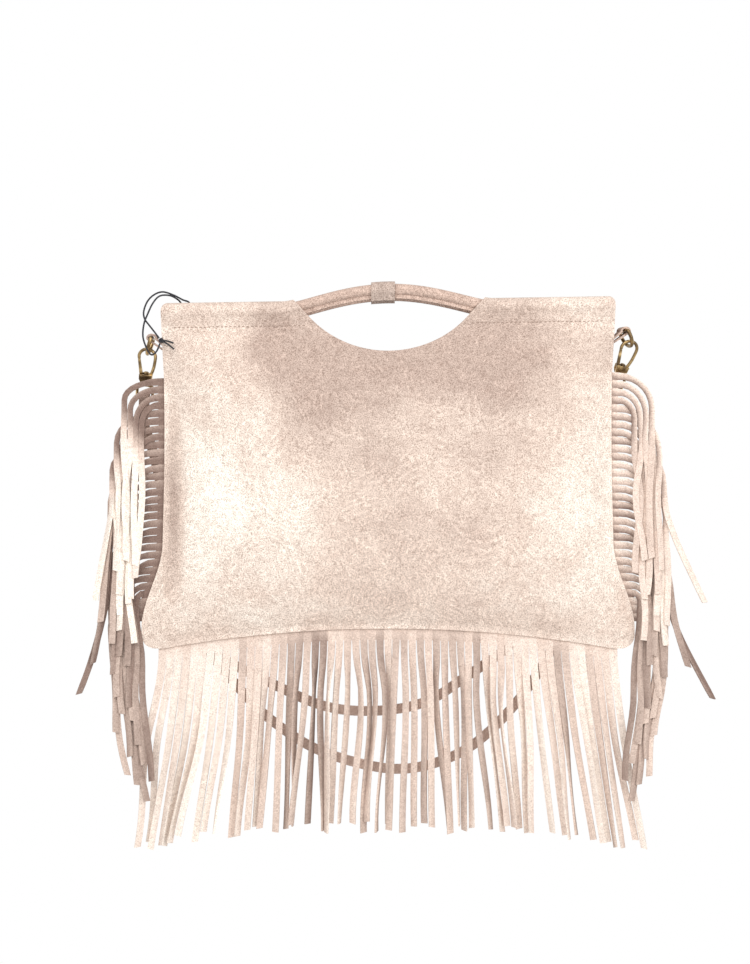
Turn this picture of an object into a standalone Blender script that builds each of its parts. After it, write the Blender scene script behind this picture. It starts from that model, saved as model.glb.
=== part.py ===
"""Fringed suede bag, hanging by its two handles.

Units are metres. +X is to the right in front view, +Y goes into the bag's back, +Z is up.
The origin is the underside of the two handles, halfway between them.
"""
import math

import bmesh
import bpy
from mathutils import Matrix, Vector

# Leather and clearances
SUEDE = 0.0016
FRINGE_SUEDE = 0.0014
STRAP_SUEDE = 0.0018
WRAP_SUEDE = 0.0012
GAP = 0.0003

# Bag outline in front view
TOP_HALF = 0.180
WAIST_IN = 0.0015
FOOT_FLARE = 0.017
FLARE_START = 0.67
CORNER_R = 0.011
STITCH_Z = -0.0184
SEAM_CORNER_Z = -0.277
SEAM_ARCH = 0.016
TOP_LEAN = 0.0156
LEAN_FOOT_Z = -0.260

# Bag depth: how far each panel stands out from the seam plane
FRONT_CROWN = 0.024
BACK_CROWN = 0.018
PUFF_LENGTH = 0.036
SEAM_MARGIN = 0.004
TOP_DEPTH = 0.010
STITCH_IN = 0.001
FLAP_SHOW = 0.0035
FLAP_LEAN = 0.0008
NECK_SHARE = 0.24
NECK_EDGE_SHARE = 0.160
NECK_EDGE_WIDTH = 0.030

# Handle: a bar in the hem tunnels, bowed up between them
ROD_R = 0.0028
ROD_HALF = 0.172
ROD_Z = -0.0060
BOW_RISE = 0.0150
BOW_HALF = 0.085
COVER_SUEDE = 0.0015
COVER_HALF = 0.090
FLANGE = 0.0025
WRAP_WIDTH = 0.019
WRAP_X = -0.004

# Hand opening
HAND_HALF = 0.0615
HAND_MOUTH = 0.0755
HAND_EDGE_Z = -0.014
HAND_FOOT_Z = -0.040

# Fringe
STRAND_LENGTH = 0.150
STRAND_PITCH = 0.0064
SLIT = 0.0004
BAND_TUCK = 0.006
BAND_SHOW = 0.009
BOTTOM_HALF = 0.1835
BOTTOM_SPREAD = 1.125
LAYER_Y = 0.0034
SIDE_TOP_Z = -0.0585
SIDE_FOOT_Z = -0.2556
SIDE_BAND_SHOW = 0.005
SHINGLE = 0.0018

# Hardware
RING_WIRE_R = 0.0015
RING_HALF = 0.0090
RING_LEG = 0.0040
RING_OUT = 0.0086
RING_Z = -0.0262
TAB_WIDTH = 0.0090
TAB_DROP = 0.0165
TAB_SEWN_IN = 0.0022
TAB_FOLD = 0.56
TAB_STAGGER = 0.045
HOOK_WIRE_R = 0.0013
HOOK_ARCH_R = 0.0066
HOOK_BLOCK_TOP = -0.0170
HOOK_BLOCK_FOOT = -0.0245
HOOK_BLOCK_HALF_Y = 0.0030
GATE_HALF_Y = 0.0010
PIN_R = 0.0008
STEM_R = 0.0015
HEAD_R = 0.0021
EYE_WIRE_R = 0.0012
EYE_HALF = 0.0063
EYE_BAR_Z = -0.0380
CLIP_LEAN = math.radians(24.0)

# Strap
STRAP_WIDTH = 0.0080
STRAP_SLACK = 0.0014
STRAP_OVER = 0.0009
STUD_POST_R = 0.0014
STUD_HEAD_R = 0.0032

# Magnetic snap
SNAP_Z = -0.060
SNAP_R = 0.0090
SNAP_T = 0.0026
SNAP_SEAT = 0.0016

# Tag cord
TAG_CORD_R = 0.0007
TAG_KNOT_R = 0.0019

LEFT, RIGHT = -1, 1
FRONT, BACK = -1, 1
# Side of the bag: outward tilt of the ring, outward tilt of the clip, turn about the vertical
SIDES = {
    "left": (LEFT, math.radians(17.0), math.radians(7.0), 0.0),
    "right": (RIGHT, math.radians(25.0), math.radians(-13.0), math.radians(16.0)),
}


def smooth(value):
    value = min(1.0, max(0.0, value))
    return value * value * (3.0 - 2.0 * value)


def mix(a, b, share):
    return a + (b - a) * share


# Collections and materials

for old in list(bpy.data.objects):
    bpy.data.objects.remove(old, do_unlink=True)


def collection(name):
    made = bpy.data.collections.new(name)
    bpy.context.scene.collection.children.link(made)
    return made


PARTS = collection("fringed_suede_bag")
CUTTERS = collection("cutters")


def material(name, color, roughness, metallic=0.0):
    made = bpy.data.materials.new(name)
    made.use_nodes = True
    shader = made.node_tree.nodes["Principled BSDF"]
    shader.inputs["Base Color"].default_value = (*color, 1.0)
    shader.inputs["Roughness"].default_value = roughness
    shader.inputs["Metallic"].default_value = metallic
    made.diffuse_color = (*color, 1.0)
    return made


SUEDE_PALE = (0.72, 0.60, 0.52)
SUEDE_DARK = (0.42, 0.31, 0.26)
BRASS = (0.45, 0.33, 0.14)
STEEL = (0.50, 0.50, 0.50)
BLACK_CORD = (0.02, 0.02, 0.03)


def add(name, mesh, finish):
    made = bpy.data.objects.new(name, mesh)
    PARTS.objects.link(made)
    made.data.materials.clear()
    made.data.materials.append(finish)
    return made


# Mesh helpers

def grid_mesh(name, rows, closed=False):
    """A mesh of quads through equal rows of points. A closed grid joins its last row to its first."""
    built = bmesh.new()
    lines = [[built.verts.new(point) for point in row] for row in rows]
    if closed:
        lines.append(lines[0])
    for low, high in zip(lines, lines[1:]):
        for index in range(len(low) - 1):
            built.faces.new((low[index], low[index + 1], high[index + 1], high[index]))
    mesh = bpy.data.meshes.new(name)
    built.to_mesh(mesh)
    built.free()
    return mesh


def thicken(piece, thickness):
    solid = piece.modifiers.new("Thickness", "SOLIDIFY")
    solid.thickness = thickness
    solid.offset = 0.0
    solid.use_even_offset = True
    solid.use_quality_normals = True
    return piece


def wire(name, points, radius, finish, closed=False, resolution=2):
    curve = bpy.data.curves.new(name, "CURVE")
    curve.dimensions = "3D"
    curve.bevel_depth = radius
    curve.bevel_resolution = resolution
    curve.use_fill_caps = not closed
    curve.resolution_u = 1
    curve.render_resolution_u = 0
    curve.twist_mode = "MINIMUM"
    spline = curve.splines.new("POLY")
    spline.points.add(len(points) - 1)
    for target, point in zip(spline.points, points):
        target.co = (*point, 1.0)
    spline.use_cyclic_u = closed
    made = bpy.data.objects.new(name, curve)
    PARTS.objects.link(made)
    curve.materials.append(finish)
    return made


def plate(name, outlines, half, finish):
    """A flat piece in the local XZ plane: one outline and its holes, extruded half to each side."""
    curve = bpy.data.curves.new(name, "CURVE")
    curve.dimensions = "2D"
    curve.fill_mode = "BOTH"
    curve.extrude = half
    curve.resolution_u = 1
    for outline in outlines:
        spline = curve.splines.new("POLY")
        spline.points.add(len(outline) - 1)
        for target, (x, z) in zip(spline.points, outline):
            target.co = (x, z, 0.0, 1.0)
        spline.use_cyclic_u = True
    made = bpy.data.objects.new(name, curve)
    PARTS.objects.link(made)
    curve.materials.append(finish)
    return to_mesh(made, Matrix.Rotation(math.pi / 2.0, 4, "X"))


def to_mesh(piece, turn=None):
    """The evaluated curve as one welded mesh object of the same name and place."""
    bpy.context.view_layer.update()
    graph = bpy.context.evaluated_depsgraph_get()
    mesh = bpy.data.meshes.new_from_object(piece.evaluated_get(graph))
    name = piece.name
    place = piece.matrix_world.copy()
    old = piece.data
    bpy.data.objects.remove(piece, do_unlink=True)
    bpy.data.curves.remove(old)
    built = bmesh.new()
    built.from_mesh(mesh)
    bmesh.ops.remove_doubles(built, verts=built.verts, dist=0.00001)
    bmesh.ops.recalc_face_normals(built, faces=built.faces)
    if turn is not None:
        built.transform(turn)
    built.to_mesh(mesh)
    built.free()
    mesh.name = name
    made = bpy.data.objects.new(name, mesh)
    PARTS.objects.link(made)
    made.matrix_world = place
    return made


def turned(name, profile, finish, steps=12):
    """A turned piece about local Z from (radius, height) points, listed top to bottom."""
    built = bmesh.new()
    points = [built.verts.new((radius, 0.0, height)) for radius, height in profile]
    for first, second in zip(points, points[1:]):
        built.edges.new((first, second))
    mesh = bpy.data.meshes.new(name)
    built.to_mesh(mesh)
    built.free()
    made = add(name, mesh, finish)
    screw = made.modifiers.new("Turn", "SCREW")
    screw.steps = steps
    screw.render_steps = steps
    screw.use_merge_vertices = True
    screw.merge_threshold = 0.00001
    return made


def cutter(name, outline, y_low, y_high):
    """A closed prism with an (x, z) outline, running along Y."""
    built = bmesh.new()
    near = [built.verts.new((x, y_low, z)) for x, z in outline]
    far = [built.verts.new((x, y_high, z)) for x, z in outline]
    built.faces.new(near)
    built.faces.new(far[::-1])
    for index in range(len(outline)):
        after = (index + 1) % len(outline)
        built.faces.new((near[index], far[index], far[after], near[after]))
    bmesh.ops.recalc_face_normals(built, faces=built.faces)
    mesh = bpy.data.meshes.new(name)
    built.to_mesh(mesh)
    built.free()
    made = bpy.data.objects.new(name, mesh)
    CUTTERS.objects.link(made)
    made.hide_render = True
    made.display_type = "WIRE"
    return made


def round_cutter(name, radius, length, place):
    """A closed cylinder about local Z, centred on its place."""
    built = bmesh.new()
    bmesh.ops.create_cone(built, cap_ends=True, segments=12, radius1=radius, radius2=radius,
                          depth=length)
    mesh = bpy.data.meshes.new(name)
    built.to_mesh(mesh)
    built.free()
    made = bpy.data.objects.new(name, mesh)
    CUTTERS.objects.link(made)
    made.matrix_world = place
    made.hide_render = True
    made.display_type = "WIRE"
    return made


def boolean(piece, tool, operation):
    step = piece.modifiers.new(operation.title(), "BOOLEAN")
    step.operation = operation
    step.solver = "EXACT"
    step.object = tool
    return piece


def apply_modifiers(piece):
    bpy.context.view_layer.update()
    graph = bpy.context.evaluated_depsgraph_get()
    mesh = bpy.data.meshes.new_from_object(piece.evaluated_get(graph))
    piece.modifiers.clear()
    piece.data = mesh
    return piece


def join(piece, other):
    """One solid from two that overlap. The second object goes."""
    boolean(piece, other, "UNION")
    apply_modifiers(piece)
    bpy.data.objects.remove(other, do_unlink=True)
    return piece


# The bag's shape

BODY_HEIGHT = STITCH_Z - SEAM_CORNER_Z
SEAM_OUT = FRINGE_SUEDE / 2.0 + GAP + SUEDE / 2.0
TUNNEL_R = ROD_R + GAP + COVER_SUEDE + 2.5 * GAP + SUEDE / 2.0


def lean(x, z):
    """How much the bag's top hangs higher on the right: nothing at the foot."""
    share = min(1.0, max(0.0, (z - LEAN_FOOT_Z) / (STITCH_Z - LEAN_FOOT_Z)))
    return TOP_LEAN * x * share


def seam_z(x):
    """Height of the bottom seam, which arches up between the corners."""
    return SEAM_CORNER_Z + SEAM_ARCH * (1.0 - min(1.0, abs(x) / TOP_HALF) ** 2)


def half_width(share):
    """Half width of the bag at a share of the way from the stitch line to the foot."""
    flare = FOOT_FLARE * smooth((share - FLARE_START) / (0.94 - FLARE_START))
    waist = WAIST_IN * math.sin(math.pi * min(1.0, share / FLARE_START))
    corner = CORNER_R / BODY_HEIGHT
    over = max(0.0, (share - (1.0 - corner)) / corner)
    return TOP_HALF + flare - waist - CORNER_R * (1.0 - math.sqrt(max(0.0, 1.0 - over * over)))


def share_at(z):
    return min(1.0, max(0.0, (STITCH_Z - z) / BODY_HEIGHT))


def puff(distance):
    """Rise of a panel beside a seam, from 0 at its margin to 1 well inside."""
    return 1.0 - math.exp(-max(0.0, distance - SEAM_MARGIN) / PUFF_LENGTH)


def panel_out(x, z, crown):
    """How far a panel's middle surface stands from the seam plane at a point in front view."""
    share = share_at(z)
    side = puff(half_width(share) - abs(x))
    foot = puff(z - seam_z(x))
    body = SEAM_OUT + crown * side * foot
    inside = 1.0 - math.exp(-max(0.0, half_width(share) - abs(x)) / NECK_EDGE_WIDTH)
    neck = 1.0 - smooth(share / mix(NECK_EDGE_SHARE, NECK_SHARE, inside))
    return mix(body, TOP_DEPTH + STITCH_IN, neck)


def bow(x):
    """Rise of the handle's centre line over its level in the hem tunnels."""
    return BOW_RISE * max(0.0, 1.0 - (x / BOW_HALF) ** 2) ** 1.5


# Stations along the top: of the rods and their covers, and of the panels' columns
HANDLE_X = [0.0, 0.020, 0.040, 0.058, BOW_HALF, COVER_HALF]
PANEL_X = [0.0, 0.030, 0.058, BOW_HALF, 0.110, 0.140, 0.162, TOP_HALF - SEAM_MARGIN, TOP_HALF]


def both_ways(values):
    """The values and their mirror images, in order, with a shared zero once."""
    return sorted({round(sign * value, 7) for value in values for sign in (-1, 1)})


def hem_rows():
    """Rows of (outward, height, tunnel share) of the folded hem, from the flap's end to the stitching."""
    stitch_out = TOP_DEPTH + STITCH_IN
    flap_out = stitch_out - SUEDE - GAP
    rows = [(flap_out - FLAP_LEAN, STITCH_Z - FLAP_SHOW, 0.0), (flap_out, STITCH_Z, 0.0)]
    start = math.radians(220.0)
    sweep = math.radians(260.0)
    arcs = 6
    for step in range(arcs + 1):
        angle = start - sweep * step / arcs
        out = TOP_DEPTH + TUNNEL_R * math.cos(angle)
        rows.append((out, ROD_Z + TUNNEL_R * math.sin(angle), 1.0))
    return rows


def body_levels(count):
    """Levels of the body's rows, closer together at the neck, then round the bottom corners."""
    corner = CORNER_R / BODY_HEIGHT
    levels = []
    for step in range(count + 1):
        level = step / count
        levels.append(mix(level, level * level, 0.35) * (1.0 - corner))
    steps = 3
    for step in range(1, steps + 1):
        levels.append(1.0 - corner + corner * math.sin(math.pi / 2.0 * step / steps))
    return levels


def panel(name, side, crown):
    """A panel of one sheet: flap, tunnel over the rod, then the puffed body down to the seam."""
    shares = [value / TOP_HALF for value in both_ways(PANEL_X)]
    rows = []
    for out, height, tunnel in hem_rows():
        over = max(0.0, height - ROD_Z) / TUNNEL_R * tunnel
        half = TOP_HALF - 0.0055 * (1.0 - math.sqrt(max(0.0, 1.0 - min(1.0, over) ** 2)))
        row = []
        for share in shares:
            x = share * half
            z = height + bow(share * TOP_HALF) * tunnel
            row.append((x, side * out, z + lean(x, height)))
        rows.append(row)
    for level in body_levels(9):
        half = half_width(level)
        row = []
        for share in shares:
            x = share * half
            z = mix(STITCH_Z, seam_z(x), level)
            row.append((x, side * panel_out(x, z, crown), z + lean(x, z)))
        rows.append(row)
    made = add(name, grid_mesh(name, rows), SUEDE_FINISH)
    thicken(made, SUEDE)
    boolean(made, HAND_CUT, "DIFFERENCE")
    return made


def hand_outline():
    """The hand opening: an arc below, slanting tunnel mouths above."""
    sagitta = HAND_EDGE_Z - HAND_FOOT_Z
    radius = (HAND_HALF ** 2 + sagitta ** 2) / (2.0 * sagitta)
    reach = math.asin(HAND_HALF / radius)
    arcs = 14
    points = []
    for step in range(arcs + 1):
        angle = mix(-reach, reach, step / arcs)
        points.append((radius * math.sin(angle), HAND_FOOT_Z + radius * (1.0 - math.cos(angle))))
    over = HAND_MOUTH - HAND_HALF
    top = 0.030
    slope = over / (0.001 - HAND_EDGE_Z)
    half = HAND_HALF + slope * (top - HAND_EDGE_Z)
    points += [(half, top), (-half, top)]
    return points


# Handles

def handle_line(depth, stations):
    return [Vector((x, depth, ROD_Z + bow(x) + lean(x, ROD_Z))) for x in stations]


def sleeve_rows(profile, stations, depth):
    """Rows of a sleeve: its (y, z) profile set upright on the handle's centre line."""
    rows = []
    for y, z in profile:
        rows.append([(p.x, p.y + y, p.z + z) for p in handle_line(depth, stations)])
    return rows


def cover_profile():
    """The sleeve's section: round the rod, with two sewn edges standing down."""
    radius = ROD_R + GAP + COVER_SUEDE / 2.0
    edge = COVER_SUEDE / 2.0 + GAP / 2.0
    foot = -(ROD_R + GAP + COVER_SUEDE + FLANGE)
    start = math.asin(edge / radius)
    arcs = 8
    profile = [(-edge, foot)]
    for step in range(arcs + 1):
        angle = mix(start, 2.0 * math.pi - start, step / arcs)
        profile.append((-radius * math.sin(angle), -radius * math.cos(angle)))
    profile.append((edge, foot))
    return profile


def wrap_profile():
    """The wrap's section: a drop shape round the cover and its sewn edges."""
    ease = 2.0 * GAP
    radius = ROD_R + GAP + COVER_SUEDE + ease + WRAP_SUEDE / 2.0
    edge = COVER_SUEDE + GAP / 2.0 + ease + WRAP_SUEDE / 2.0
    foot = -(ROD_R + GAP + COVER_SUEDE + FLANGE + ease + WRAP_SUEDE / 2.0)
    start = math.radians(48.0)
    arcs = 8
    profile = [(-edge, foot)]
    for step in range(arcs + 1):
        angle = mix(start, 2.0 * math.pi - start, step / arcs)
        profile.append((-radius * math.sin(angle), -radius * math.cos(angle)))
    profile.append((edge, foot))
    return profile


def handle(name, side):
    depth = side * TOP_DEPTH
    stations = both_ways(HANDLE_X + [0.130, ROD_HALF])
    wire(name + "_handle_rod", handle_line(depth, stations), ROD_R, STEEL_FINISH)
    covered = both_ways(HANDLE_X)
    cover = add(name + "_handle_cover",
                grid_mesh(name + "_handle_cover", sleeve_rows(cover_profile(), covered, depth)),
                SUEDE_FINISH)
    thicken(cover, COVER_SUEDE)
    around = [WRAP_X - WRAP_WIDTH / 2.0, WRAP_X, WRAP_X + WRAP_WIDTH / 2.0]
    wrap = add(name + "_handle_wrap",
               grid_mesh(name + "_handle_wrap", sleeve_rows(wrap_profile(), around, depth), True),
               DARK_FINISH)
    thicken(wrap, WRAP_SUEDE)


# Fringe

def wobble(index, salt):
    """A repeatable value from -1 to 1 for each strand."""
    value = math.sin((index + 1) * 12.9898 + salt * 78.233) * 43758.5453
    return 2.0 * (value - math.floor(value)) - 1.0


def strand_strip(built, root_a, root_b, sections):
    """Adds one strand to a mesh, from its two root corners through pairs of edge points."""
    low = (root_a, root_b)
    for left, right in sections:
        high = (built.verts.new(left), built.verts.new(right))
        built.faces.new((low[0], low[1], high[1], high[0]))
        low = high


def bottom_strand(index, x_root, z_root):
    """Edge points of a bottom strand, which fans out, twists a little and hangs in one of two layers."""
    width = (STRAND_PITCH - SLIT) / 2.0
    layer = LAYER_Y if index % 2 else -LAYER_Y
    twist = math.radians(46.0) * wobble(index, 1)
    sway = 0.0022 * wobble(index, 2)
    length = STRAND_LENGTH + 0.004 * wobble(index, 3)
    x_end = x_root * BOTTOM_SPREAD + sway
    pairs = []
    for share in (0.30, 1.0):
        ease = smooth(share * 1.6)
        x = mix(x_root, x_end, share ** 1.2)
        y = layer * ease
        z = z_root - length * share
        dx = width * math.cos(twist * ease)
        dy = width * math.sin(twist * ease)
        pairs.append(((x - dx, y - dy, z), (x + dx, y + dy, z)))
    return pairs


def bottom_fringe():
    """One slit strip: a band tucked between the panels, and the strands below it."""
    built = bmesh.new()
    count = int(round(2.0 * BOTTOM_HALF / STRAND_PITCH))
    pitch = 2.0 * BOTTOM_HALF / count
    tops = []
    feet = []
    for index in range(count + 1):
        x = -BOTTOM_HALF + pitch * index
        tops.append(built.verts.new((x, 0.0, seam_z(x) + BAND_TUCK)))
        slit = 0.0 if index in (0, count) else SLIT / 2.0
        z = seam_z(x) - BAND_SHOW
        left = built.verts.new((x - slit, 0.0, z)) if index else None
        right = built.verts.new((x + slit, 0.0, z)) if index < count else None
        feet.append((left, right))
    for index in range(count):
        a, b = tops[index], tops[index + 1]
        c, d = feet[index][1], feet[index + 1][0]
        if index:
            built.faces.new((a, feet[index][0], c))
        built.faces.new((a, c, d, b))
        x = -BOTTOM_HALF + pitch * (index + 0.5)
        strand_strip(built, c, d, bottom_strand(index, x, seam_z(x) - BAND_SHOW))
    bmesh.ops.recalc_face_normals(built, faces=built.faces)
    mesh = bpy.data.meshes.new("bottom_fringe")
    built.to_mesh(mesh)
    built.free()
    thicken(add("bottom_fringe", mesh, SUEDE_FINISH), FRINGE_SUEDE)


# Side fringe: how far its outer lane stands out from the bag's top, and the radius of the fall
SIDE_OUT = 0.0415
SIDE_REACH = TOP_HALF + SIDE_OUT
SIDE_FALL = {"left": 0.0080, "right": 0.0105}
# Where the seam leaves a lane less room, its strands still run out this far and fall this tightly
LEAST_OUT = 0.0015
LEAST_FALL = 0.0039
LANES = 4
LANE_STEP = 0.0067
# A hanging strand leans forward by one layer in the height of its lanes' roots
SIDE_SLOPE = SHINGLE / (LANES * STRAND_PITCH)
# How far in front a strand's fall starts, where the strand below it is shorter and where it is longer
NESTED_START = 0.15 * SHINGLE
CROSSING_START = 0.90 * SHINGLE
# The first groups of strands hang closer in, one value a group
SHOULDER = (0.0110, 0.0050, 0.0015)
# Strands whose tips swing out from the bag, and how far
STRAYS = {"left": {8: 0.0095, 12: 0.0070, 16: 0.0110, 20: 0.0235},
          "right": {8: 0.0280, 16: 0.0135, 20: 0.0360}}


def side_plan(name):
    """Root height, seam edge, reach, fall, start and depth of each side strand, from the top one down."""
    count = int(round((SIDE_TOP_Z - SIDE_FOOT_Z) / STRAND_PITCH))
    pitch = (SIDE_TOP_Z - SIDE_FOOT_Z) / count
    places = []
    for index in range(count):
        z = SIDE_TOP_Z - pitch * (index + 0.5)
        edge = half_width(share_at(z)) + SIDE_BAND_SHOW
        group, lane = divmod(index, LANES)
        shoulder = SHOULDER[group] if group < len(SHOULDER) else 0.0
        least = edge + LEAST_OUT + LEAST_FALL
        reach = max(SIDE_REACH - LANE_STEP * lane - shoulder, least)
        places.append((z, edge, reach, min(SIDE_FALL[name], reach - edge - LEAST_OUT)))
    # From the lowest up, each strand hangs in front of those that its own width would meet
    plan = []
    for z, edge, reach, fall in reversed(places):
        depth = SHINGLE
        for low_z, low_edge, low_reach, low_fall, low_start, low_depth in plan:
            if abs(low_reach - reach) < STRAND_PITCH:
                depth = max(depth, low_depth + SHINGLE - SIDE_SLOPE * (z - low_z))
        crosses = plan and plan[-1][2] > reach
        plan.append((z, edge, reach, fall, CROSSING_START if crosses else NESTED_START, depth))
    return plan[::-1]


def side_strand(index, side, z_root, place, stray):
    """Edge points of a side strand: straight out, a falling arc, then down in front of those below."""
    edge, reach, fall, start, depth = place
    width = (STRAND_PITCH - SLIT) / 2.0
    length = STRAND_LENGTH + 0.005 * wobble(index, 4)
    out = reach - fall - edge
    pairs = []
    steps = 2
    for step in range(steps + 1):
        angle = math.pi / 2.0 * step / steps
        u = edge + out + fall * math.sin(angle)
        drop = fall * (1.0 - math.cos(angle))
        w = z_root - drop
        y = -mix(start, depth, smooth(1.4 * step / steps)) - SIDE_SLOPE * drop
        du, dw = width * math.sin(angle), width * math.cos(angle)
        pairs.append(((side * (u + du), y, w + dw), (side * (u - du), y, w - dw)))
    hang = length - out - fall * math.pi / 2.0
    for share in ((0.5, 1.0) if stray else (1.0,)):
        w = z_root - fall - hang * share
        u = edge + out + fall + stray * share ** 1.6
        y = -depth - SIDE_SLOPE * (fall + hang * share)
        pairs.append(((side * (u + width), y, w), (side * (u - width), y, w)))
    return pairs


def side_fringe(name, side):
    """One slit strip in the side seam, its strands falling in nested arcs."""
    built = bmesh.new()
    plan = side_plan(name)
    count = len(plan)
    pitch = (SIDE_TOP_Z - SIDE_FOOT_Z) / count
    inner = []
    outer = []
    for index in range(count + 1):
        z = SIDE_TOP_Z - pitch * index
        edge = half_width(share_at(z))
        up = lean(side * edge, z)
        inner.append(built.verts.new((side * (edge - BAND_TUCK), 0.0, z + up)))
        slit = SLIT / 2.0
        x = side * (edge + SIDE_BAND_SHOW)
        above = built.verts.new((x, 0.0, z + up + slit)) if index else None
        below = built.verts.new((x, 0.0, z + up - slit)) if index < count else None
        outer.append((above, below))
    for index in range(count):
        a, b = inner[index], inner[index + 1]
        c, d = outer[index][1], outer[index + 1][0]
        if index:
            built.faces.new((a, outer[index][0], c))
        built.faces.new((a, c, d, b))
        z, *place = plan[index]
        z += lean(side * place[0], z)
        strand_strip(built, c, d, side_strand(index, side, z, place, STRAYS[name].get(index, 0.0)))
    bmesh.ops.recalc_face_normals(built, faces=built.faces)
    mesh = bpy.data.meshes.new(name + "_fringe")
    built.to_mesh(mesh)
    built.free()
    thicken(add(name + "_fringe", mesh, SUEDE_FINISH), FRINGE_SUEDE)


# Rings, tabs and clips

def ring_place(side, tilt, turn):
    x = side * (TOP_HALF + RING_OUT)
    where = Vector((x, 0.0, RING_Z + lean(x, RING_Z)))
    return (Matrix.Translation(where) @ Matrix.Rotation(turn, 4, "Z")
            @ Matrix.Rotation(-side * tilt, 4, "Y"))


def clip_place(side, ring_tilt, clip_tilt, turn):
    ring = ring_place(side, ring_tilt, turn)
    where = ring @ Vector((0.0, 0.0, -(RING_LEG + RING_HALF)))
    return (Matrix.Translation(where) @ Matrix.Rotation(turn, 4, "Z")
            @ Matrix.Rotation(-side * clip_tilt, 4, "Y") @ Matrix.Rotation(CLIP_LEAN, 4, "X"))


def ring_points():
    """Centre line of the D ring in its own YZ plane, its straight bar on the Y axis."""
    points = [(0.0, -RING_HALF, 0.0), (0.0, RING_HALF, 0.0), (0.0, RING_HALF, -RING_LEG)]
    arcs = 8
    for step in range(1, arcs):
        angle = math.pi * step / arcs
        points.append((0.0, RING_HALF * math.cos(angle), -RING_LEG - RING_HALF * math.sin(angle)))
    points.append((0.0, -RING_HALF, -RING_LEG))
    return points


def tab(name, side, turn):
    """A leather strip folded round the ring's bar, both its ends sewn between the panels' edges."""
    radius = RING_WIRE_R + GAP + SUEDE / 2.0
    half_pair = (SUEDE + GAP) / 2.0
    inward = RING_OUT + TAB_SEWN_IN
    arcs = 7
    loop = radius + 0.0009
    line = [(-inward - half_pair, -TAB_DROP),
            (-inward - half_pair, -TAB_DROP * (TAB_FOLD - TAB_STAGGER))]
    for step in range(arcs + 1):
        angle = math.radians(mix(196.0, -24.0, step / arcs))
        line.append((loop * math.cos(angle), radius * math.sin(angle)))
    line += [(-inward + half_pair, -TAB_DROP * (TAB_FOLD + TAB_STAGGER)),
             (-inward + half_pair, -TAB_DROP)]
    place = ring_place(side, 0.0, 0.0)
    rows = []
    for x, z in line:
        twist = turn * smooth((z + TAB_DROP * 0.7) / (TAB_DROP * 0.6))
        row = []
        for y in (-TAB_WIDTH / 2.0, TAB_WIDTH / 2.0):
            local = Matrix.Rotation(twist, 4, "Z") @ Vector((side * x, y, z))
            row.append(place @ local)
        rows.append(row)
    made = add(name + "_tab", grid_mesh(name + "_tab", rows), SUEDE_FINISH)
    thicken(made, SUEDE)


def hook_points():
    """Centre line of the hook's wire in its own XZ plane: nose, arch and spine."""
    centre = ARCH_RISE - HOOK_ARCH_R
    points = [(-HOOK_ARCH_R + 0.0002, 0.0, centre - NOSE_DROP)]
    arcs = 8
    for step in range(arcs + 1):
        angle = math.pi * (1.0 - step / arcs)
        points.append((HOOK_ARCH_R * math.cos(angle), 0.0, centre + HOOK_ARCH_R * math.sin(angle)))
    points.append((HOOK_ARCH_R - 0.0007, 0.0, mix(centre, HOOK_BLOCK_TOP, 0.45)))
    points.append((HOOK_ARCH_R - 0.0030, 0.0, HOOK_BLOCK_TOP - 0.0012))
    return points


# The arch stands over the ring's bow, which crosses it at the clip's lean
ARCH_RISE = (RING_WIRE_R + HOOK_WIRE_R + GAP) / math.cos(CLIP_LEAN) + 2.0 * GAP
NOSE_DROP = 0.0014
PIN_X = -0.0037
PIN_Z = HOOK_BLOCK_TOP - 0.0020


def circle(x, z, radius, count=10):
    return [(x + radius * math.cos(2.0 * math.pi * step / count),
             z + radius * math.sin(2.0 * math.pi * step / count)) for step in range(count)]


def hook(name, place):
    """Hook body: wire joined to its block, with a slot for the gate's foot and a bore for the stem."""
    body = to_mesh(wire(name + "_hook", hook_points(), HOOK_WIRE_R, BRASS_FINISH))
    top, foot = HOOK_BLOCK_TOP, HOOK_BLOCK_FOOT
    outline = [(-0.0054, top), (0.0052, top), (0.0050, mix(top, foot, 0.55)), (0.0036, foot),
               (-0.0038, foot), (-0.0054, mix(top, foot, 0.55))]
    block = plate(name + "_block", [outline], HOOK_BLOCK_HALF_Y, BRASS_FINISH)
    join(body, block)
    slot_half = GATE_HALF_Y + GAP
    slot = cutter(name + "_gate_slot",
                  [(-0.0080, top + 0.0030), (-0.0080, PIN_Z - 0.0022), (-0.0020, PIN_Z - 0.0022),
                   (-0.0020, top + 0.0030)], -slot_half, slot_half)
    bore = round_cutter(name + "_stem_bore", STEM_R + GAP, 0.020,
                        Matrix.Translation((0.0, 0.0, mix(top, foot, 0.5))))
    pin_bore = round_cutter(name + "_pin_bore", PIN_R + GAP, 0.020,
                            Matrix.Translation((PIN_X, 0.0, PIN_Z))
                            @ Matrix.Rotation(math.pi / 2.0, 4, "X"))
    for tool in (slot, bore, pin_bore):
        boolean(body, tool, "DIFFERENCE")
    apply_modifiers(body)
    body.matrix_world = place
    return body


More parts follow.
